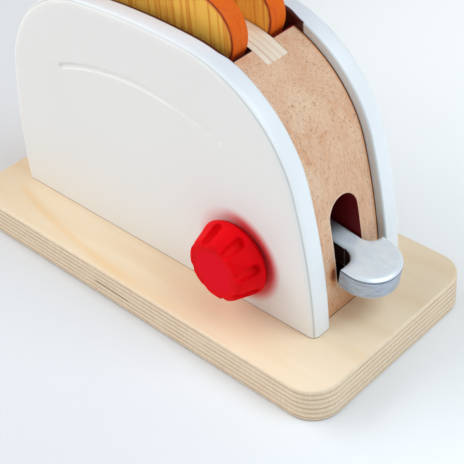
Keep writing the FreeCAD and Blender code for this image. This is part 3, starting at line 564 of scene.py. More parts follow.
@dataclass(frozen=True)
class DividerPlywood:
    """Pale plywood that stands on edge: thick plies of a close tone, with thin glue lines between them.

    Its two faces, which line the bread slots, carry dark painted shade.
    """

    pale: Colour = srgb(244, 228, 208)
    warm: Colour = srgb(236, 216, 192)
    glue: Colour = srgb(190, 150, 116)
    # painted shade for the faces that line the bread slots
    interior_shade: Colour = srgb(70, 10, 10)
    lines: tuple[Point, ...] = ((3.2 * MM, 0.55 * MM, 0.5), (6.2 * MM, 0.5 * MM, 0.32),
                                (9.4 * MM, 0.5 * MM, 0.24))

    def material(self) -> Material:
        """Paint the plies.

        A glue line covers what is nearer to its depth under the front face than its half width.

        Returns:
            The material.
        """
        sheet = Sheet("DividerPlywood")
        _, y, _ = sheet.place()
        front, back = DIVIDER_SIDES
        grain = sheet.noise((60, 500, 900), 4.0, 0.6)
        depth = y - front + (sheet.noise((45, 4, 45), 2.0) - 0.5) * (0.5 * MM)
        face = abs(y - (front + back) / 2).step((back - front) / 2 - 0.2 * MM, (back - front) / 2 - 0.05 * MM)
        cloud = sheet.noise((30, 260, 60), 2.0)
        colour = sheet.mix(cloud.step(*NOISE_SPAN), self.pale, self.warm).coats(
            (grain.step(0.4, 0.8, 0.0, 0.3), self.warm),
            *((abs(depth - place).step(half, half * 0.4, 0.0, share), self.glue)
              for place, half, share in self.lines),
            # painted shade on both faces, which lie in the slots' shaded gaps
            (face, self.interior_shade))
        sheet.bump(grain, 0.04 * MM)
        return sheet.finish(colour, grain.step(*NOISE_SPAN, 0.46, 0.56), Specular_IOR_Level=0.4)


@dataclass(frozen=True)
class BlockWood:
    """Oiled close-grained wood with short dark flecks along the grain, which runs up the block.

    The walls of the lever slot and of the bread well carry dark painted shade, darker on the slot's front
    wall and low down. The joints against the panels and the base are dark lines, painted shade darkens the
    corner along the back panel, and the foot of the block is a tone darker. A painted shadow lies where the
    lever's head shades the block beside the slot, and a painted highlight runs along the slot's front edge.
    """

    light: Colour = srgb(234, 199, 168)
    pink: Colour = srgb(226, 183, 152)
    orange: Colour = srgb(221, 161, 121)
    fleck: Colour = srgb(146, 76, 44)
    # foot also serves the painted shade along the back panel and round the painted shadow beside the slot
    foot: Colour = srgb(222, 146, 88)
    joint: Colour = srgb(84, 34, 16)
    # painted shadow of the lever head on the block, in front of the slot's lower end
    slot_shadow: Colour = srgb(138, 62, 24)
    # painted shade for the walls of the lever slot and the bread well; deep is the darker shade
    interior_shade: Colour = srgb(112, 10, 16)
    deep: Colour = srgb(46, 6, 6)
    # painted highlight along the slot's front edge
    rim: Colour = srgb(244, 226, 208)
    slot_shadow_place: Pair = (-7.4 * MM, 40 * MM)
    slot_shadow_size: Pair = (3.2 * MM, 5.4 * MM)

    def flecks(self, sheet: Sheet) -> Value:
        """Short dashes near the middle of some cells of a stretched cell pattern, picked by chance.

        Args:
            sheet: The material that is being made.

        Returns:
            A value that is 1 in a dash.
        """
        cells = sheet.node("TexVoronoi", {
            "Vector": sheet.stretched((1000, 700, 240), turn=(-7, -3.5, 0)), "Scale": 1.0,
            "Randomness": 1.0}, feature="F1")
        chance = sheet.value("SeparateColor", {0: Value(sheet, cells.outputs["Color"])})
        return Value(sheet, cells.outputs["Distance"]).step(0.3, 0.12) * chance.step(0.6, 0.68)

    def material(self) -> Material:
        """Paint the wood.

        The painted shade covers what is nearer to the slot's middle line than its half width plus a hair. The
        middle line is upright and runs between the centres of the slot's two round ends. The painted shadow
        beside the slot's lower end is an ellipse, made ragged by noise.

        Returns:
            The material.
        """
        sheet = Sheet("BlockWood")
        x, y, z = sheet.place()
        cloud = sheet.noise((55, 55, 26), 3.0, 0.6, 0.8)
        warm = sheet.noise((90, 90, 40), 3.0, 0.6, 0.6, start=(1.7, 0.4, 0.2))
        mottle = sheet.noise((900, 900, 420), 3.0, 0.65, 0.5)
        fibres = sheet.noise((1300, 1300, 170), 4.0, 0.6)
        coarse = sheet.noise((820, 820, 300), 2.0, 0.7, 1.2, turn=(9, 5, 0)).step(0.6, 0.7)
        dash = (coarse * 0.5).most(self.flecks(sheet) * 0.45)
        front, back = BLOCK_SIDES
        joint = y.step(back - 0.9 * MM, back - 0.5 * MM, 0.0, 0.9)
        joint = joint.most(y.step(front + 0.4 * MM, front + 0.1 * MM, 0.0, 0.3))
        joint = joint.most(z.step(FOOT_Z + 0.6 * MM, FOOT_Z + 0.2 * MM, 0.0, 0.85))
        # painted shadow: a ragged ellipse in front of the slot's lower end, where the lever head shades the
        # block
        across, up = ((place - middle) * (1 / half) for place, middle, half in
                      zip((y, z), self.slot_shadow_place, self.slot_shadow_size))
        shadow_spread = across * across + up * up + sheet.noise(420, 2.0) * 0.9
        outside = x.step(50 * MM, 60 * MM)

        # painted shade inside the slot and on the well's walls: darker on the slot's front wall and low down
        aside = y - SLOT_Y
        far = (z - SLOT_HIGH).most(SLOT_LOW - z).most(0.0).length(aside)
        beyond = x.step(WELL[1] - 20 * MM, WELL[1] - 10 * MM)
        # painted highlight: a pale line on the slot's front edge only
        edge = far.step(SLOT_HALF + 0.9 * MM, SLOT_HALF + 0.4 * MM, 0.0, 0.5) * aside.step(5 * MM, -1 * MM)
        inside = far.step(SLOT_HALF + 0.12 * MM, SLOT_HALF + 0.04 * MM) * beyond
        inside = inside.most(abs(x - WELL_MIDDLE).step(WELL_HALF + 0.9 * MM, WELL_HALF + 0.6 * MM))
        tone = sheet.mix(aside.step(0.0, 8 * MM), self.deep, self.interior_shade).coats(
            (z.step(SLOT_HIGH - 14 * MM, SLOT_HIGH - 24 * MM), self.deep))
        colour = sheet.mix(cloud.step(0.35, 0.66), self.light, self.pink).coats(
            (warm.step(0.52, 0.74, 0.0, 0.7), self.orange),
            (mottle.step(0.5, 0.72, 0.0, 0.5), self.orange),
            (mottle.step(0.5, 0.3, 0.0, 0.35), self.light),
            (fibres.step(0.45, 0.8, 0.0, 0.3), self.fleck),
            (z.step(FOOT_Z + 17 * MM, FOOT_Z + 1 * MM, 0.0, 0.4), self.foot),
            (dash, self.fleck),
            # painted shade in the corner along the back panel
            (y.step(back - 2.2 * MM, back - 0.6 * MM, 0.0, 0.7), self.foot),
            (joint, self.joint),
            # painted shadow of the lever head: an outer ring in the foot colour and a darker core
            (shadow_spread.step(2.6, 1.0, 0.0, 0.8) * outside, self.foot),
            (shadow_spread.step(1.3, 0.5, 0.0, 0.9) * outside, self.slot_shadow),
            (edge * beyond, self.rim),
            # painted shade inside the slot and the well
            (inside, tone))
        sheet.bump(fibres - dash, 0.05 * MM)
        return sheet.finish(colour, cloud.step(*NOISE_SPAN, 0.5, 0.62), Specular_IOR_Level=0.2)


@dataclass(frozen=True)
class PanelPaint:
    """White paint sprayed over wood, with a faint orange peel.

    Round the rim it is a cooler tone and on the crown a greyer one, both painted light and shade. The inner
    face is greyer with painted shade, and a grey painted shade line runs along the middle of the outer
    rounding. It ends in a brown line at the foot. Inside the bread well the panels carry painted shade as
    dark as the blocks, and round the knob a red ring of painted shadow and reflection lies on the front
    panel.
    """

    colour: Colour = srgb(245, 244, 242)
    shade: Colour = srgb(241, 240, 238)
    # painted light and shade: rim is a cooler tone on the edges, crown a greyer one on the top faces
    rim: Colour = srgb(239, 242, 245)
    crown: Colour = srgb(222, 226, 234)
    # painted shade on the inner faces
    inside: Colour = srgb(217, 222, 224)
    # painted shade: a grey line along the middle of the outer rounding
    shade_line: Colour = srgb(174, 188, 194)
    foot: Colour = srgb(150, 110, 84)
    # painted shade for the faces inside the bread well, over the inner edge too
    interior_shade: Colour = srgb(70, 10, 10)
    # painted shadow and red reflection in a ring round the knob
    red_shade: Colour = srgb(232, 34, 46)
    red_shade_reach: Pair = (25.5 * MM, 19.5 * MM)
    inner_half: float = 20.5 * MM
    shade_line_half: float = 26 * MM
    arc_top: float = 122 * MM
    arc_half: float = 58 * MM

    def material(self) -> Material:
        """Spray the paint.

        The painted shade line is where the part of the outward direction that lies along Y is between two
        values, far from the toaster's middle plane and clear of the routed arc. The painted shade in the well
        covers the faces that are nearer to that plane than the rest, and narrows towards the well's ends.

        Returns:
            The material.
        """
        sheet = Sheet("WhitePaint")
        x, y, z = sheet.place()
        _, facing, upwards = sheet.normal()
        facing, apart, aside = abs(facing), abs(y - MIDDLE_Y), abs(x - WELL_MIDDLE)
        cloud = sheet.noise(14, 2.0)
        inner = self.inner_half
        # painted shade line where the outer rounding turns half way
        shade_line = facing.step(0.55, 0.68) * facing.step(0.86, 0.74)
        shade_line = shade_line * apart.step(self.shade_line_half, self.shade_line_half + 0.5 * MM, 0.0, 0.6)
        routed = z.step(self.arc_top, self.arc_top - 4 * MM)
        routed = routed * aside.step(self.arc_half, self.arc_half - 3 * MM)
        sole = z.step(FOOT_Z + 0.6 * MM, FOOT_Z + 0.3 * MM, 0.0, 0.7)
        # painted shade inside the well, reaching over the inner edge and narrowing towards the well's ends
        taper = aside.step(WELL_HALF - 4 * MM, WELL_HALF + 4 * MM, 0.0, 1.2 * MM)
        within = (apart + taper).step(inner + 2.1 * MM, inner + 1.7 * MM)
        # painted red shadow and reflection round the knob, weaker on its left
        across = x - KNOB_AXIS[0]
        red_shaded = across.length(z - KNOB_AXIS[1]).step(*self.red_shade_reach, 0.0, 0.95)
        red_shaded = red_shaded * y.step(-20 * MM, -24 * MM) * across.step(-12 * MM, 6 * MM, 0.3, 1.0)
        colour = sheet.mix(cloud.step(0.3, 0.75, 0.0, 0.5), self.colour, self.shade).coats(
            # painted light and shade by facing: cooler on the edges, greyer on top
            (facing.step(0.55, 0.3), self.rim),
            (upwards.step(0.7, 1.0), self.crown),
            # painted shade: the inner faces are greyer
            (apart.step(inner + 1 * MM, inner + 0.5 * MM), self.inside),
            (shade_line * (1.0 - routed), self.shade_line),
            (sole * apart.step(inner + 0.2 * MM, inner + 0.4 * MM), self.foot),
            (within * aside.step(WELL_HALF + 6 * MM, WELL_HALF + 5 * MM), self.interior_shade),
            (red_shaded, self.red_shade))
        sheet.bump(sheet.noise(420, 2.0), 0.02 * MM)
        return sheet.finish(colour, cloud.step(*NOISE_SPAN, 0.37, 0.43))


@dataclass(frozen=True)
class Silver:
    """Metallic silver paint, sprayed on sanded wood whose marks still show."""

    colour: Colour = srgb(246, 252, 255)
    shade: Colour = srgb(224, 234, 250)
    # painted shade: the sides are darker than the top
    side: Colour = srgb(166, 176, 190)
    # painted dark reflection line under the rounded edge
    line: Colour = srgb(112, 124, 142)
    # painted shade: dark brown for the hollows' walls and the arm inside the slot
    hollow_shade: Colour = srgb(66, 42, 34)
    metal: float = 0.24
    line_heights: Pair = (3.8 * MM, 4.9 * MM)
    hollow: Point = (89.0 * MM, 11.7 * MM, 6.5 * MM)
    fade: Pair = (88 * MM, 76 * MM)

    def material(self) -> Material:
        """Spray the silver.

        The sides are a tone darker with painted shade, and a painted dark reflection line runs under the
        rounded edge.
        The hollows' walls, which are nearer to a hollow's axis than its radius and a little, carry dark
        painted shade, and so do the arm's sides behind them. Painted shade darkens the arm along its length,
        inside the slot.

        Returns:
            The material.
        """
        sheet = Sheet("SilverPaint")
        x, y, z = sheet.place()
        height = (x - PIVOT[0]) * math.sin(SLOPE) + (z - PIVOT[2]) * math.cos(SLOPE)
        side = abs(sheet.normal()[2]).step(0.55, 0.3)
        flakes = sheet.noise(1400, 2.0)
        cloud = sheet.noise((150, 260, 300), 4.0, 0.65)
        sanding = sheet.noise((160, 160, 1400), 3.0, 0.6)
        low, high = self.line_heights
        line = height.step(low, low + 0.3 * MM) * height.step(high, high - 0.3 * MM)
        # painted shade in the hollows, on the arm's sides behind them, and along the arm inside the slot
        along, across, radius = self.hollow
        far = (abs(y - PIVOT[1]) - across).length(x - along)
        hollow_shade = far.step(radius + 0.5 * MM, radius + 0.2 * MM) * x.step(along, along + 1 * MM)
        hollow_shade = hollow_shade.most(x.step(along + 0.6 * MM, along) * side).most(x.step(*self.fade, 0.0, 0.94))
        colour = sheet.mix(cloud.step(0.3, 0.75, 0.0, 0.6), self.colour, self.shade).coats(
            # painted shade on the sides
            (side, sheet.mix(sanding.step(0.35, 0.65, 0.0, 0.4), self.side, self.shade)),
            # painted dark reflection line under the rounded edge
            (line * side, self.line),
            (hollow_shade, self.hollow_shade))
        sheet.bump(flakes * 0.4 + sanding, 0.04 * MM)
        return sheet.finish(colour, flakes.step(*NOISE_SPAN, 0.28, 0.39), Metallic=(1.0 - hollow_shade) * self.metal,
                            Specular_IOR_Level=0.5)


@dataclass(frozen=True)
class Lacquer:
    """Thick lacquer over a turned cone, with a cooler painted reflection on the flat front, brighter painted
    light deep in the flutes, and painted shade on the back bevel.
    """

    colour: Colour = srgb(236, 8, 20)
    # painted reflection: a cooler hue on the flat front
    front_reflection: Colour = srgb(236, 4, 34)
    deep: Colour = srgb(188, 6, 16)
    # painted light deep in the flutes, against their shade
    flute_light: Colour = srgb(255, 34, 40)
    # painted shade on the back bevel, which faces the panel
    back: Colour = srgb(196, 10, 20)
    taper: float = 0.305
    front_reflection_radius: float = 10.5 * MM

    def material(self) -> Material:
        """Lay the lacquer on.

        The distance from the axis, taken from the cone's own radius at that height, says how deep a place
        lies in a flute. The cone's radius falls evenly with the height above the rim.

        Returns:
            The material.
        """
        sheet = Sheet("RedLacquer")
        x, y, z = sheet.place()
        far = (x - KNOB_AXIS[0]).length(z - KNOB_AXIS[1])
        height = PANEL_FACES[0] - y
        rim_radius, rim_height = KNOB_RIM
        cone = rim_radius - (height - rim_height) * self.taper
        front = sheet.normal()[1].step(-0.8, -0.97)
        cloud = sheet.noise(90, 2.0)
        colour = sheet.mix(cloud.step(0.35, 0.75, 0.0, 0.35), self.colour, self.deep).coats(
            # painted reflection on the flat front
            (front * far.step(self.front_reflection_radius + 0.8 * MM, self.front_reflection_radius - 0.8 * MM), self.front_reflection),
            # painted light deep in the flutes
            ((cone - far).step(0.8 * MM, 4 * MM, 0.0, 0.45) * (1.0 - front), self.flute_light),
            # painted shade on the back bevel
            (height.step(rim_height + 0.4 * MM, rim_height - 0.6 * MM), self.back))
        sheet.bump(sheet.noise(260, 2.0), 0.03 * MM)
        return sheet.finish(colour, 0.5, Specular_IOR_Level=0.03)


@dataclass(frozen=True)
class ToastWood:
    """A board stained as toast: ochre crumb with upright grain, a reddish border, and an orange crust.

    A thin dark line runs along the crumb's edge. The crust has redder streaks, and painted shade makes it
    redder lower down.
    """

    crumb: Colour = srgb(255, 196, 84)
    grain: Colour = srgb(232, 142, 50)
    border: Colour = srgb(232, 108, 50)
    arris: Colour = srgb(132, 30, 20)
    crust: Colour = srgb(230, 104, 18)
    # redder crust colour: for streaks, and painted shade lower down
    crust_streak_and_shade: Colour = srgb(204, 50, 34)
    low: float = 130 * MM

    def material(self) -> Material:
        """Stain the slice.

        The border follows the slice's outline through the distance that its points carry in "rim".

        Returns:
            The material.
        """
        sheet = Sheet("ToastBoard")
        rim = sheet.value("Attribute", output="Fac", attribute_name="rim", attribute_type="GEOMETRY")
        rim = rim + (sheet.noise(160, 2.0) - 0.5) * (1.2 * MM)
        lines = sheet.noise((620, 620, 16), 2.0)
        z = sheet.place()[2]
        # painted shade: the crust turns redder below low
        rind = sheet.mix(z.step(self.low + 8 * MM, self.low), self.crust, self.crust_streak_and_shade).coats(
            (lines.step(0.4, 0.75, 0.0, 0.3), self.crust_streak_and_shade))
        colour = sheet.mix(lines.step(0.42, 0.62, 0.0, 0.85), self.crumb, self.grain).coats(
            (rim.step(2.6 * MM, 1.1 * MM, 0.0, 0.7), self.border),
            (rim.step(1.4 * MM, 0.7 * MM, 0.0, 0.85), self.arris),
            (abs(sheet.normal()[1]).step(0.8, 0.45), rind))
        sheet.bump(lines, 0.06 * MM)
        return sheet.finish(colour, 0.5, Specular_IOR_Level=0.15)


@dataclass(frozen=True)
class Plain:
    """A finish for the small fittings, with a fine pattern of its own."""

    name: str
    colour: Colour
    shade: Colour
    roughness: float
    scale: Point
    metal: float = 0.0
    depth: float = 0.03 * MM

    def material(self) -> Material:
        """Make the finish.

        Returns:
            The material.
        """
        sheet = Sheet(self.name)
        grain = sheet.noise(self.scale, 4.0, 0.6)
        colour = sheet.mix(grain.step(0.3, 0.75), self.colour, self.shade)
        rough = grain.step(*NOISE_SPAN, self.roughness, self.roughness + 0.08)
        sheet.bump(grain, self.depth)
        return sheet.finish(colour, rough, Metallic=self.metal)


# ------------------------------------------------------------------ forms

@dataclass(frozen=True)
class Arch:
    """The outline that panels, blocks and divider share, from arcs that run smoothly into each other."""

    middle_x: float = -4 * MM
    half: float = 99.7 * MM
    rise: float = 126.3 * MM
    flank_radius: float = 331 * MM
    shoulder_radius: float = 65.8 * MM
    crown_radius: float = 337 * MM
    block_inset: float = 4.3 * MM
    points: tuple[int, int, int] = (48, 130, 64)

    def path(self, inset: float) -> np.ndarray:
        """The outline from the right foot over the crown to the left foot.

        Flank and crown are arcs whose centres lie level with the foot and on the middle line. The shoulder's
        centre is where circles about both centres cross, each with the difference of the radii.

        Args:
            inset: How far the path runs inside the panels' outline.

        Returns:
            Points (n, 2) across and up, from the foot of the arch's middle line.
        """
        flank, shoulder, crown = (radius - inset for radius in
                                  (self.flank_radius, self.shoulder_radius, self.crown_radius))
        first = np.array([self.half - inset - flank, 0.0])
        second = np.array([0.0, self.rise - inset - crown])
        reach, other = flank - shoulder, crown - shoulder
        apart = second - first
        distance = float(np.hypot(*apart))
        along = (distance ** 2 + reach ** 2 - other ** 2) / (2 * distance)
        aside = math.sqrt(reach ** 2 - along ** 2) * np.array([-apart[1], apart[0]])
        bend = max((first + (along * apart + sign * aside) / distance for sign in (-1, 1)),
                   key=lambda point: point[1])
        low = math.degrees(math.atan2(bend[1], bend[0] - first[0]))
        high = math.degrees(math.atan2(bend[1] - second[1], bend[0]))
        on_flank, on_shoulder, on_crown = self.points
        right = np.concatenate([arc(first, flank, 0, low, on_flank)[:-1],
                                arc(bend, shoulder, low, high, on_shoulder)[:-1],
                                arc(second, crown, high, 90, on_crown)])
        return np.concatenate([right, right[-2::-1] * (-1, 1)])

    def at(self, path: np.ndarray, y: float | np.ndarray) -> np.ndarray:
        """Stand a path, across and up, in space at a place along Y, one for all points or one for each."""
        depth = np.broadcast_to(y, path.shape[:-1])
        return np.stack([path[..., 0] + self.middle_x, depth, path[..., 1] + FOOT_Z], axis=-1)

    def ring(self, inset: float, y: float) -> np.ndarray:
        """The closed outline: the path, and back along the foot under the same points."""
        path = self.path(inset)
        return self.at(np.concatenate([path, path[-2:0:-1] * (1, 0)]), y)


@dataclass
class Base:
    """The plywood base, with rounded corners and soft edges."""

    length: float = 240 * MM
    width: float = 110 * MM
    corner: float = 15 * MM
    arris: float = 1.1 * MM
    screw_places: tuple[Pair, ...] = (
        (72 * MM, -11.1 * MM), (72 * MM, 18.1 * MM), (-80 * MM, -11.1 * MM), (-80 * MM, 18.1 * MM))
    screw_radius: float = 2.05 * MM
    sink_radius: float = 4.8 * MM
    overshoot: float = 0.5 * MM
    corner_points: int = 40
    side_points: int = 24
    edge_points: int = 7
    rows: int = 12

    def sides(self, inset: float, height: float) -> tuple[np.ndarray, np.ndarray]:
        """The front and back halves of the outline: straight runs and quarter circles.

        Args:
            inset: How far it runs inside the base.
            height: How high it lies.

        Returns:
            Two paths (n, 3) from the left to the right.
        """
        across, up = self.length / 2 - self.corner, self.width / 2 - self.corner
        radius = self.corner - inset
        front = np.concatenate([
            arc((-across, -up), radius, 180, 270, self.corner_points),
            run((-across, -up - radius), (across, -up - radius), self.side_points),
            arc((across, -up), radius, 270, 360, self.corner_points)])
        front = np.insert(front, 2, height, axis=1)
        return front, front * (1, -1, 1)

    def build(self) -> None:
        """Make the base: rings down the rounded edges, a ruled surface on each face, and its screw holes."""
        edge = rounded(self.arris, self.arris, self.edge_points)
        rings = [self.sides(inset, height) for inset, height in edged(FOOT_Z, edge, 0.0, edge)]
        piece = solid("base_board", np.stack([np.concatenate([front, back[::-1]]) for front, back in rings]),
                      *(ruled(*self.sides(self.arris, height), self.rows) for height in (FOOT_Z, 0.0)))
        sink = Vector((0, 0, self.sink_radius - self.screw_radius + self.overshoot))
        bore = Vector((0, 0, FOOT_Z + 2 * self.overshoot))
        cutters = []
        for x, y in self.screw_places:
            foot = Vector((x, y, -self.overshoot))
            cutters.append(rod(foot, foot + sink, self.sink_radius + self.overshoot, self.screw_radius))
            cutters.append(rod(foot, foot + bore, self.screw_radius))
        carve(piece, *cutters)
        dress(piece, Plywood().material(), "root", "base_plywood", "base_plate")


@dataclass
class Panel:
    """A white arched panel, well rounded outside, with a shallow routed arc near its top."""

    side: Side
    paint: Material
    arch: Arch = field(default_factory=Arch)
    thick: float = 10.5 * MM
    outer_round: float = 4.4 * MM
    outer_full: float = 2.8
    inner_round: float = 1 * MM
    groove_radius: float = 143 * MM
    groove_height: float = 94.8 * MM
    groove_half: float = 51.2 * MM
    groove_width: float = 3.4 * MM
    groove_depth: float = 0.9 * MM
    groove_margin: float = 0.8 * MM
    groove_share: float = 0.78
    bore_radius: float = 5.06 * MM
    outer_points: int = 17
    inner_points: int = 5
    outer_rows: tuple[int, int, int] = (14, 23, 8)
    inner_rows: int = 6

    def depth_at(self, across: np.ndarray, up: np.ndarray) -> np.ndarray:
        """Depth of the groove: a round-nosed cutter's circle, by the distance from the groove's middle line.

        Args:
            across: Places from the arch's middle.
            up: Heights above its foot.

        Returns:
            The depths.
        """
        centre = self.groove_height - self.groove_radius
        swing = math.asin(self.groove_half / self.groove_radius)
        angle = np.clip(np.arctan2(across, up - centre), -swing, swing)
        away = np.hypot(across - self.groove_radius * np.sin(angle),
                        up - centre - self.groove_radius * np.cos(angle))
        nose = (self.groove_width ** 2 / 4 + self.groove_depth ** 2) / (2 * self.groove_depth)
        return np.maximum(np.sqrt(np.maximum(nose ** 2 - away ** 2, 0)) - (nose - self.groove_depth), 0)

    def outer_face(self, face_y: float) -> np.ndarray:
        """The outer face as upright columns under the path, with close rows across the groove.

        Args:
            face_y: Where the face lies.

        Returns:
            A grid (rows, columns, 3).
        """
        path = self.arch.path(self.outer_round)
        across, top = path[:, 0], path[:, 1:]
        line = self.groove_height - self.groove_radius + np.sqrt(self.groove_radius ** 2 - path[:, :1] ** 2)
        line = np.minimum(line, self.groove_share * top)
        reach = np.minimum(self.groove_width / 2 + self.groove_margin, 0.1 * top)
        levels = (0 * top, line - reach, line + reach, top)
        up = np.concatenate([levels[0].T, *(ruled(low, high, rows)[1:, :, 0] for low, high, rows in
                                            zip(levels, levels[1:], self.outer_rows))])
        across = np.broadcast_to(across, up.shape)
        inwards = -self.side.value * self.depth_at(across, up)
        return self.arch.at(np.stack([across, up], axis=-1), face_y + inwards)

    def build(self) -> None:
        """Make the panel: outlines carried over its rounded edges, and its two faces."""
        outward = self.side.value
        front = self.side is Side.FRONT
        outer_y = PANEL_FACES[0 if front else 1]
        inner_y = outer_y - outward * self.thick
        outer = rounded(self.outer_round, self.outer_round, self.outer_points, self.outer_full)
        rings = edged(outer_y, outer, inner_y, rounded(self.inner_round, self.inner_round, self.inner_points))
        path = self.arch.path(self.inner_round)
        name = f"{self.side.name.lower()}_panel"
        piece = solid(f"{name}_board", np.stack([self.arch.ring(*ring) for ring in rings]),
                      self.outer_face(outer_y),
                      ruled(self.arch.at(path * (1, 0), inner_y), self.arch.at(path, inner_y),
                            self.inner_rows))
        if front:
            x, z = KNOB_AXIS
            carve(piece, rod(Vector((x, outer_y - self.thick, z)), Vector((x, inner_y + self.thick, z)),
                             self.bore_radius))
        dress(piece, self.paint, "root", "white_paint", name)


@dataclass
class Infill:
    """The wood between the panels: the two end blocks and the divider between the bread slots."""

    wood: Material
    arch: Arch = field(default_factory=Arch)
    divider_low: float = 84 * MM
    let_in: float = 9 * MM
    recess_radius: float = 12 * MM
    recess_depth: float = 8 * MM
    edge: float = 0.35 * MM
    clear: float = 0.04 * MM
    slot_points: int = 64

    def slab(self, name: str, ends: Pair, low: float, sides: Pair, inset: float) -> Object:
        """A board under the arch: the path between two ends, closed along a level underside.

        Args:
            name: Name of the board.
            ends: Left and right end, along X.
            low: Underside, along Z.
            sides: Front and back, along Y.
            inset: How far its top lies inside the panels' outline.

        Returns:
            The board.
        """
        path = self.arch.path(inset) + (self.arch.middle_x, FOOT_Z)
        places, heights = path.T
        right, left = np.clip(ends[::-1], places.min(), places.max())
        tops = np.interp([right, left], places[::-1], heights[::-1])
        inside = (places < right - self.clear) & (places > left + self.clear)
        crest = np.concatenate([[(right, tops[0])], path[inside], [(left, tops[1])]])
        if low > FOOT_Z:
            crest = crest[crest[:, 1] > low]
        sole = crest * (1, 0) + (0, low)
        rim = np.concatenate([crest, sole[::-1]])
        return solid(name, np.stack([np.insert(rim, 1, y, axis=1) for y in sides]),
                     *(ruled(*(np.insert(line, 1, y, axis=1) for line in (sole, crest)), 2) for y in sides))

    def slot_cutter(self) -> Object:
        """The lever slot as a solid: an upright slot with half-round ends, carried along X.

        Returns:
            The solid.
        """
        outline = np.concatenate([arc((SLOT_Y, SLOT_HIGH), SLOT_HALF, 0, 180, self.slot_points),
                                  arc((SLOT_Y, SLOT_LOW), SLOT_HALF, 180, 360, self.slot_points)])
        middle = outline * 0 + outline.mean(axis=0)
        near, far = WELL[1] - self.let_in, self.arch.half
        return solid("Slot", np.stack([np.insert(line, 0, x, axis=1) for x, line in (
            (near, middle), (near, outline), (far, outline), (far, middle))]))

    def block(self, end: End) -> None:
        """Make an end block, with the housing for the divider and on the right with slot and recess.

        Args:
            end: Which block.
        """
        right = end is End.RIGHT
        wall = WELL[1 if right else 0]
        ends = (wall, self.arch.half) if right else (-2 * self.arch.half, wall)
        name = end.name.lower()
        piece = self.slab(f"{name}_block", ends, FOOT_Z, BLOCK_SIDES, self.arch.block_inset)
        cutters = [self.slab("Housing", (wall - self.let_in, wall + self.let_in), self.divider_low,
                             DIVIDER_SIDES, 0.0)]
        if right:
            x, z = KNOB_AXIS
            front = BLOCK_SIDES[0]
            cutters += [self.slot_cutter(), rod(Vector((x, front - self.recess_depth, z)),
                                                Vector((x, front + self.recess_depth, z)),
                                                self.recess_radius)]
        carve(piece, *cutters)
        soften(piece, self.edge)
        dress(piece, self.wood, "root", "block_wood", f"end_block_{name}")

    def divider(self) -> None:
        """Make the divider, whose top follows the blocks and whose ends are let into them."""
        reach = self.let_in - self.clear
        front, back = DIVIDER_SIDES
        piece = self.slab("divider_board", (WELL[0] - reach, WELL[1] + reach), self.divider_low,
                          (front + self.clear, back - self.clear), self.arch.block_inset)
        soften(piece, self.edge)
        dress(piece, DividerPlywood().material(), "root", "divider_plywood", "slot_divider")


@dataclass
class Lever:
    """The silver rocker lever: a long arm that is hollowed out to a half-round head."""

    thick: float = 12 * MM
    half: float = 5.2 * MM
    tail: float = 44.1 * MM
    reach: float = 61.24 * MM
    radius: float = 14.67 * MM
    offset: float = -1.5 * MM
    shank: float = 4.56 * MM
    hollow: float = 6.5 * MM
    edge_across: float = 3.0 * MM
    edge_down: float = 1.5 * MM
    pin_radius: float = 3.06 * MM
    points: tuple[int, ...] = (20, 30, 28, 6, 56)
    edge_points: int = 9
    rows: int = 8

    def edges(self, inset: float) -> list[np.ndarray]:
        """The two sides of the plan, from the tail's end to the head's: arcs grow or shrink by the inset.

        Args:
            inset: How far they run inside the lever's outline.

        Returns:
            Two paths (n, 2) along and across the lever.
        """
        back, radius = self.reach - self.shank, self.radius - inset
        on_tail, on_arm, on_hollow, on_shank, on_head = self.points
        sides = []
        for sign in (-1, 1):
            middle = sign * self.offset
            top = (back + inset, middle + radius)
            path = np.concatenate([
                arc((-self.tail, 0), self.half - inset, 180, 90, on_tail),
                run((-self.tail, self.half - inset), (back - self.hollow, self.half - inset), on_arm),
                arc((back - self.hollow, self.half + self.hollow), self.hollow + inset, 270, 360, on_hollow),
                run((back + inset, self.half + self.hollow), top, on_shank), [top],
                run(top, (self.reach, middle + radius), on_shank),
                arc((self.reach, middle), radius, 90, 0, on_head)])
            sides.append(path * (1, sign))
        return sides

    def stand(self, plan: np.ndarray, height: float) -> np.ndarray:
        """Turn points of the lever's own plane, at a height above its middle, about the pivot by its slope.

        Args:
            plan: Points along and across.
            height: Height above the lever's middle plane.

        Returns:
            Points (n, 3).
        """
        along, across = plan.T
        return np.stack([PIVOT[0] + along * math.cos(SLOPE) + height * math.sin(SLOPE), across + PIVOT[1],
                         PIVOT[2] - along * math.sin(SLOPE) + height * math.cos(SLOPE)], axis=-1)

    def build(self) -> None:
        """Make the lever: its outline carried round both edges, ruled faces, and the bore for its pin."""
        half = self.thick / 2
        edge = rounded(self.edge_across, self.edge_down, self.edge_points)
        rings = []
        for inset, height in edged(half, edge, -half, edge):
            front, back = self.edges(inset)
            rings.append(self.stand(np.concatenate([front, back[-2:0:-1]]), height))
        sides = self.edges(self.edge_across)
        piece = solid("rocker_lever", np.stack(rings), *(
            ruled(*(self.stand(side, height) for side in sides), self.rows) for height in (half, -half)))
        x, y, z = PIVOT
        carve(piece, rod(Vector((x, y - 2 * self.half, z)), Vector((x, y + 2 * self.half, z)),
                         self.pin_radius))
        dress(piece, Silver().material(), "lever_body", "lever_silver", "lever")


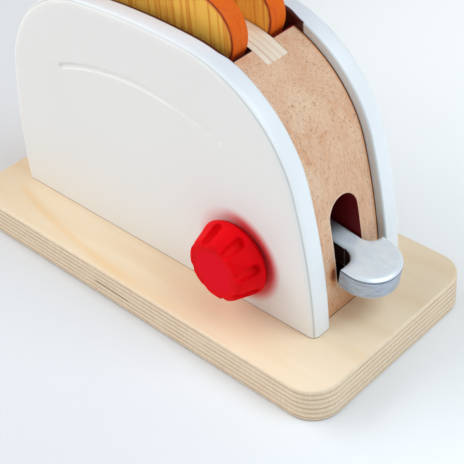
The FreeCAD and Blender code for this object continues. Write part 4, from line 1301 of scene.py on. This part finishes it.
@dataclass
class Knob:
    """The fluted knob, a turned cone with a flat front, cut by eight round-nosed flutes."""

    stand: float = 1.0 * MM
    back_radius: float = 17.85 * MM
    front_radius: float = 15.15 * MM
    height: float = 16.3 * MM
    front_round: float = 3.2 * MM
    rim_round: float = 0.8 * MM
    flutes: int = 8
    flute_radius: float = 2.35 * MM
    flute_reach: float = 15.6 * MM
    flute_stop: float = 5.0 * MM
    flute_angle: float = 15.0
    blend: float = 1.0 * MM
    points: tuple[int, ...] = (5, 3, 9, 44, 26, 8)
    columns: int = 560
    smooth: float = 50.0

    def profile(self) -> np.ndarray:
        """The turned outline from the back's middle to the front's: corners are rounded by fillet arcs.

        Returns:
            Points (n, 2), radius and height above the panel.
        """
        start, end = np.array([0.0, self.stand]), np.array([0.0, self.height])
        back, rim, front = (np.array(corner) for corner in (
            (self.back_radius, self.stand), KNOB_RIM, (self.front_radius, self.height)))
        on_back, on_flare, on_rim, on_cone, on_edge, on_front = self.points
        low = self.fillet(back, rim, front, self.rim_round, on_rim)
        high = self.fillet(rim, front, end, self.front_round, on_edge)
        return np.concatenate([[start], run(start, back, on_back), [back], run(back, low[0], on_flare), low,
                               run(low[-1], high[0], on_cone), high, run(high[-1], end, on_front), [end]])

    @staticmethod
    def fillet(before: np.ndarray, corner: np.ndarray, after: np.ndarray, radius: float,
               count: int) -> np.ndarray:
        """Round a corner: the arc's centre lies on the corner's bisector, at the radius over the sine of half
        the corner's angle, and the arc turns from one tangent point to the other.

        Args:
            before: Point before the corner.
            corner: The corner.
            after: Point after it.
            radius: Radius of the rounding.
            count: Number of points.

        Returns:
            Points (count, 2).
        """
        back, on = ((point - corner) / np.hypot(*(point - corner)) for point in (before, after))
        half = math.acos(float(np.dot(back, on))) / 2
        centre = corner + (back + on) / np.hypot(*(back + on)) * radius / math.sin(half)
        first, last = (corner + way * radius / math.tan(half) - centre for way in (back, on))
        start = math.degrees(math.atan2(first[1], first[0]))
        turn = math.degrees(math.atan2(first[0] * last[1] - first[1] * last[0], float(np.dot(first, last))))
        return arc(centre, radius, start, start + turn, count)

    def build(self) -> None:
        """Make the knob: the smaller of the turned radius and the flute's near wall, blended where they meet.

        A ray at an angle from a flute's middle meets the cutter's circle at the flute's distance times the
        cosine, less the root of the circle's radius squared minus the distance times the sine squared. Near
        its back end the cutter's circle shrinks as a ball does.
        """
        outline = self.profile()
        radius, height = outline[:, :1], outline[:, 1:]
        angle = np.linspace(0, 2 * np.pi, self.columns, endpoint=False)[None]
        pitch = 2 * np.pi / self.flutes
        aside = (angle - math.radians(self.flute_angle) + pitch / 2) % pitch - pitch / 2
        nose = np.maximum(self.flute_stop + self.flute_radius - height, 0)
        cutter = np.maximum(self.flute_radius ** 2 - nose ** 2, 0)
        gap = cutter - (self.flute_reach * np.sin(aside)) ** 2
        wall = self.flute_reach * np.cos(aside) - np.sqrt(np.maximum(gap, 0))
        wall = np.where(gap > 0, wall, KNOB_RIM[0] * 2)
        apart = np.clip(0.5 + 0.5 * (wall - radius) / self.blend, 0, 1)
        size = wall * (1 - apart) + radius * apart - self.blend * apart * (1 - apart)
        size = np.where(radius > self.flute_reach / 2, size, radius)
        depth = np.broadcast_to(PANEL_FACES[0] - height, size.shape)
        piece = solid("fluted_knob", np.stack([KNOB_AXIS[0] + size * np.cos(angle), depth,
                                               KNOB_AXIS[1] + size * np.sin(angle)], axis=-1))
        dress(piece, Lacquer().material(), "knob_body", "red_lacquer", "knob", angle=self.smooth)


@dataclass
class Slice:
    """A bread slice cut from board: straight sides, a hollow under each lobe and a low crown."""

    side: Side
    finish: Material
    place: Pair = (-3.7 * MM, 78.35 * MM)
    front_near: float = -2.8 * MM
    back_near: float = 10.8 * MM
    thick: float = 9.6 * MM
    wide: float = 96.8 * MM
    waist: float = 90.8 * MM
    tall: float = 88 * MM
    lobe: float = 17 * MM
    lobe_height: float = 63.5 * MM
    corner: float = 7 * MM
    hollow: float = 6 * MM
    edge: float = 0.9 * MM
    rings: tuple[float, ...] = (6 * MM, 5 * MM, 4 * MM, 3 * MM, 2.2 * MM)
    points: tuple[int, ...] = (12, 16, 14, 14, 40, 24)
    edge_points: int = 7
    rows: int = 10
    rim_steps: int = 8

    def flank(self, inset: float) -> np.ndarray:
        """The right half of the outline, from the foot's middle to the crown's: arcs shrink by the inset.

        The hollow's centre is as far from the lobe's as their radii add up to, and the crown's centre as far
        as they differ.

        Args:
            inset: How far it runs inside the slice's outline.

        Returns:
            Points (n, 2) across and up.
        """
        lobe_x, waist = self.wide / 2 - self.lobe, self.waist / 2
        drop = self.tall - self.lobe_height
        crown = (lobe_x ** 2 + drop ** 2 - self.lobe ** 2) / (2 * (drop - self.lobe))
        high = math.degrees(math.atan2(self.lobe_height - self.tall + crown, lobe_x))
        aside = waist + self.hollow - lobe_x
        hollow_up = self.lobe_height - math.sqrt((self.lobe + self.hollow) ** 2 - aside ** 2)
        low = math.degrees(math.atan2(hollow_up - self.lobe_height, aside))
        on_foot, on_corner, on_side, on_hollow, on_lobe, on_crown = self.points
        return np.concatenate([
            [(0.0, inset)], run((0.0, inset), (waist - self.corner, inset), on_foot),
            arc((waist - self.corner, self.corner), self.corner - inset, -90, 0, on_corner),
            run((waist - inset, self.corner), (waist - inset, hollow_up), on_side),
            arc((waist + self.hollow, hollow_up), self.hollow + inset, 180, 180 + low, on_hollow),
            arc((lobe_x, self.lobe_height), self.lobe - inset, low, high, on_lobe)[1:],
            arc((0.0, self.tall - crown), crown - inset, high, 90, on_crown)[1:]])

    def at(self, path: np.ndarray, y: float) -> np.ndarray:
        """Stand a path, across and up, at its place along Y."""
        return np.insert(path + self.place, 1, y, axis=1)

    def build(self) -> None:
        """Make the slice: its outline carried over both edges, in rings that step in on its faces."""
        outward = self.side.value
        near = self.front_near if self.side is Side.FRONT else self.back_near
        far = near + outward * self.thick
        steps = np.concatenate([[(inset, 0) for inset in self.rings],
                                rounded(self.edge, self.edge, self.edge_points)])
        rings = []
        for inset, y in edged(far, steps, near, steps):
            right = self.flank(inset)
            rings.append(self.at(np.concatenate([right, right[-2:0:-1] * (-1, 1)]), y))
        right = self.flank(self.rings[0])
        piece = solid(f"{self.side.name.lower()}_slice", np.stack(rings), *(
            ruled(self.at(right, y), self.at(right * (-1, 1), y), self.rows) for y in (far, near)))
        self.mark_rim(piece)
        name = "toast_front" if self.side is Side.FRONT else "toast_rear"
        dress(piece, self.finish, f"{name}_body", "toast_wood", name)

    def mark_rim(self, piece: Object) -> None:
        """Store each point's distance from the outline in "rim": the least to close points on the outline.

        Args:
            piece: The slice.
        """
        right = self.flank(0.0)
        outline = np.concatenate([right, right[::-1] * (-1, 1)]) + self.place
        steps = np.linspace(0, 1, self.rim_steps, endpoint=False)[None, :, None]
        following = np.roll(outline, -1, axis=0)
        close = (outline[:, None] * (1 - steps) + following[:, None] * steps).reshape(-1, 2)
        points = np.empty(len(piece.data.vertices) * 3)
        piece.data.vertices.foreach_get("co", points)
        flat = points.reshape(-1, 3)[:, (0, 2)]
        distance = np.sqrt(((flat[:, None] - close[None]) ** 2).sum(axis=2).min(axis=1))
        rim = piece.data.attributes.new("rim", "FLOAT", "POINT")
        rim.data.foreach_set("value", distance.astype(np.float32))


@dataclass
class Fittings:
    """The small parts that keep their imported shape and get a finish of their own."""

    steel: Plain = Plain("ZincSteel", srgb(190, 192, 196), srgb(160, 163, 168), 0.3, (300, 300, 1500), 1.0)
    dowel: Plain = Plain("BeechDowel", srgb(216, 182, 146), srgb(186, 144, 106), 0.5, (900, 120, 900))
    birch: Plain = Plain("CarrierBirch", srgb(226, 202, 168), srgb(206, 174, 134), 0.5, (30, 500, 500))
    nylon: Plain = Plain("NaturalNylon", srgb(226, 224, 214), srgb(214, 211, 200), 0.45, (700, 700, 700))
    felt: Plain = Plain("RedFelt", srgb(206, 26, 36), srgb(170, 14, 24), 0.9, (3000, 3000, 3000), 0.0,
                        0.2 * MM)

    def build(self) -> None:
        """Give every fitting its material."""
        for finish, names in (
                (self.steel, ("base_screws", "lever_pivot", "guide_rods", "knob_washer", "knob_screw")),
                (self.dowel, ("panel_dowels", "lift_peg", "knob_shaft")),
                (self.birch, ("toast_carrier",)), (self.nylon, ("lever_spacers",)),
                (self.felt, ("knob_felt",))):
            material = finish.material()
            for name in names:
                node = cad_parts[name]
                node.data.materials.clear()
                node.data.materials.append(material)
                log.info("%s gets %s", name, material.name)


# ------------------------------------------------------------------ studio

@dataclass
class Studio:
    """Camera, floor, world and lamps."""

    azimuth: float = 46.93
    elevation: float = 38.79
    roll: float = -5.54
    position: Point = (344.99 * MM, -303.56 * MM, 381.29 * MM)
    lens: float = 91.566
    sensor: float = 36.0
    floor_size: float = 8.0
    floor_drop: float = 0.2 * MM
    floor_colour: Colour = srgb(251, 253, 255)
    # painted shade: near_colour darkens the floor towards the front left
    near_colour: Colour = srgb(226, 228, 232)
    near_reach: Pair = (0.3, -0.1)
    far_reach: Pair = (0.35, 1.1)
    seen_colour: Colour = srgb(240, 242, 246)
    world_colour: Colour = (1.0, 0.87, 0.74, 1.0)
    world_strength: float = 0.39
    gap_strength: float = 0.17
    gap_width: Pair = (0.55, 0.9)
    aim: Point = (0.0, 0.0, 0.06)
    lamps: tuple[tuple[str, Point, float, float, Point], ...] = (
        ("Top", (0.7, 0.3, 1.05), 0.6, 6.0, (0.72, 0.88, 1.0)),
        ("Window", (0.95, -0.1, 0.75), 0.6, 3.6, (0.72, 0.88, 1.0)),
        ("Fill", (-0.85, -1.45, 1.1), 1.36, 12.5, (0.92, 0.97, 1.0)),
        ("Side", (-1.6, -0.5, 1.36), 1.36, 20.0, (0.92, 0.97, 1.0)))

    def camera(self) -> None:
        """Set the camera up: its back looks away from the toaster, and its right and up turn by the roll."""
        turn, lift, roll = (math.radians(angle) for angle in (self.azimuth, self.elevation, self.roll))
        back = Vector((math.sin(turn) * math.cos(lift), -math.cos(turn) * math.cos(lift), math.sin(lift)))
        level = Vector((math.cos(turn), math.sin(turn), 0))
        raised = back.cross(level)
        right = math.cos(roll) * level + math.sin(roll) * raised
        up = math.cos(roll) * raised - math.sin(roll) * level
        data = bpy.data.cameras.new("Camera")
        data.sensor_width = self.sensor
        data.lens = self.lens
        camera = bpy.data.objects.new("Camera", data)
        turned = Matrix((right, up, back)).transposed().to_4x4()
        camera.matrix_world = Matrix.Translation(self.position) @ turned
        bpy.context.scene.collection.objects.link(camera)
        bpy.context.scene.camera = camera

    def floor(self) -> None:
        """Lay the floor: a wide pale sheet, which far out looks to the camera as the world does."""
        line = np.linspace(-self.floor_size / 2, self.floor_size / 2, 9)
        across, along = np.meshgrid(line, line)
        floor = solid("Floor", np.stack([across, along, np.full_like(across, -self.floor_drop)], axis=-1),
                      around=False)
        sheet = Sheet("PaleFloor")
        x, y, _ = sheet.place()
        cloud = sheet.noise(3, 2.0)
        colour = sheet.mix(cloud.step(*NOISE_SPAN, 0.0, 0.1), self.floor_colour, self.seen_colour).coats(
            # painted shade: darker floor towards the front left
            ((x + y).step(*self.near_reach), self.near_colour))
        far = sheet.value("VectorMath", {0: sheet.own}, "Value", operation="LENGTH").step(*self.far_reach)
        glow = sheet.value("Emission", {"Color": self.seen_colour, "Strength": 1.0})
        share = far * sheet.value("LightPath", output="Is Camera Ray")
        sheet.feed(sheet.output.inputs["Surface"],
                   sheet.value("MixShader", {0: share, 1: sheet.surface, 2: glow}))
        floor.data.materials.append(sheet.finish(colour, 0.6, Specular_IOR_Level=0.2))

    def world(self) -> None:
        """Fill the surroundings with soft light that looks white to the camera.

        The light dims where the dot product of its direction and the level way to the camera is high.
        """
        world = bpy.data.worlds.new("Surroundings")
        bpy.context.scene.world = world
        nodes = Nodes(world)
        turn = math.radians(self.azimuth)
        along = nodes.value("VectorMath", {0: nodes.value("TexCoord", output="Generated"),
                                           1: (math.sin(turn), -math.cos(turn), 0.0)}, "Value",
                            operation="DOT_PRODUCT")
        strength = along.step(*self.gap_width, self.world_strength, self.gap_strength)
        soft = nodes.value("Background", {"Color": self.world_colour, "Strength": strength})
        plain = nodes.value("Background", {"Color": self.seen_colour, "Strength": 1.0})
        seen = nodes.value("LightPath", output="Is Camera Ray")
        nodes.node("OutputWorld", {"Surface": nodes.value("MixShader", {0: seen, 1: soft, 2: plain})})

    def lamp(self, name: str, place: Point, size: float, power: float, colour: Point) -> None:
        """Hang a square soft lamp that faces the toaster.

        Args:
            name: Name of the lamp.
            place: Where it hangs.
            size: Length of its side.
            power: Its power, in watts.
            colour: Its colour.
        """
        data = bpy.data.lights.new(name, "AREA")
        data.shape = "SQUARE"
        data.size = size
        data.energy = power
        data.color = colour
        lamp = bpy.data.objects.new(name, data)
        turned = (Vector(self.aim) - Vector(place)).to_track_quat("-Z", "Y").to_matrix().to_4x4()
        lamp.matrix_world = Matrix.Translation(place) @ turned
        bpy.context.scene.collection.objects.link(lamp)

    def build(self) -> None:
        """Set the whole studio up."""
        self.camera()
        self.floor()
        self.world()
        for lamp in self.lamps:
            self.lamp(*lamp)
        bpy.context.scene.view_settings.view_transform = "Standard"


def main() -> None:
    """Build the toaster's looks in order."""
    logging.basicConfig(level=logging.INFO, format="%(message)s")
    Studio().build()
    white = PanelPaint().material()
    Base().build()
    for side in Side:
        Panel(side, white).build()
    infill = Infill(BlockWood().material())
    for end in End:
        infill.block(end)
    infill.divider()
    Lever().build()
    toast = ToastWood().material()
    for side in Side:
        Slice(side, toast).build()
    Knob().build()
    Fittings().build()


if __name__ == "__main__":
    main()
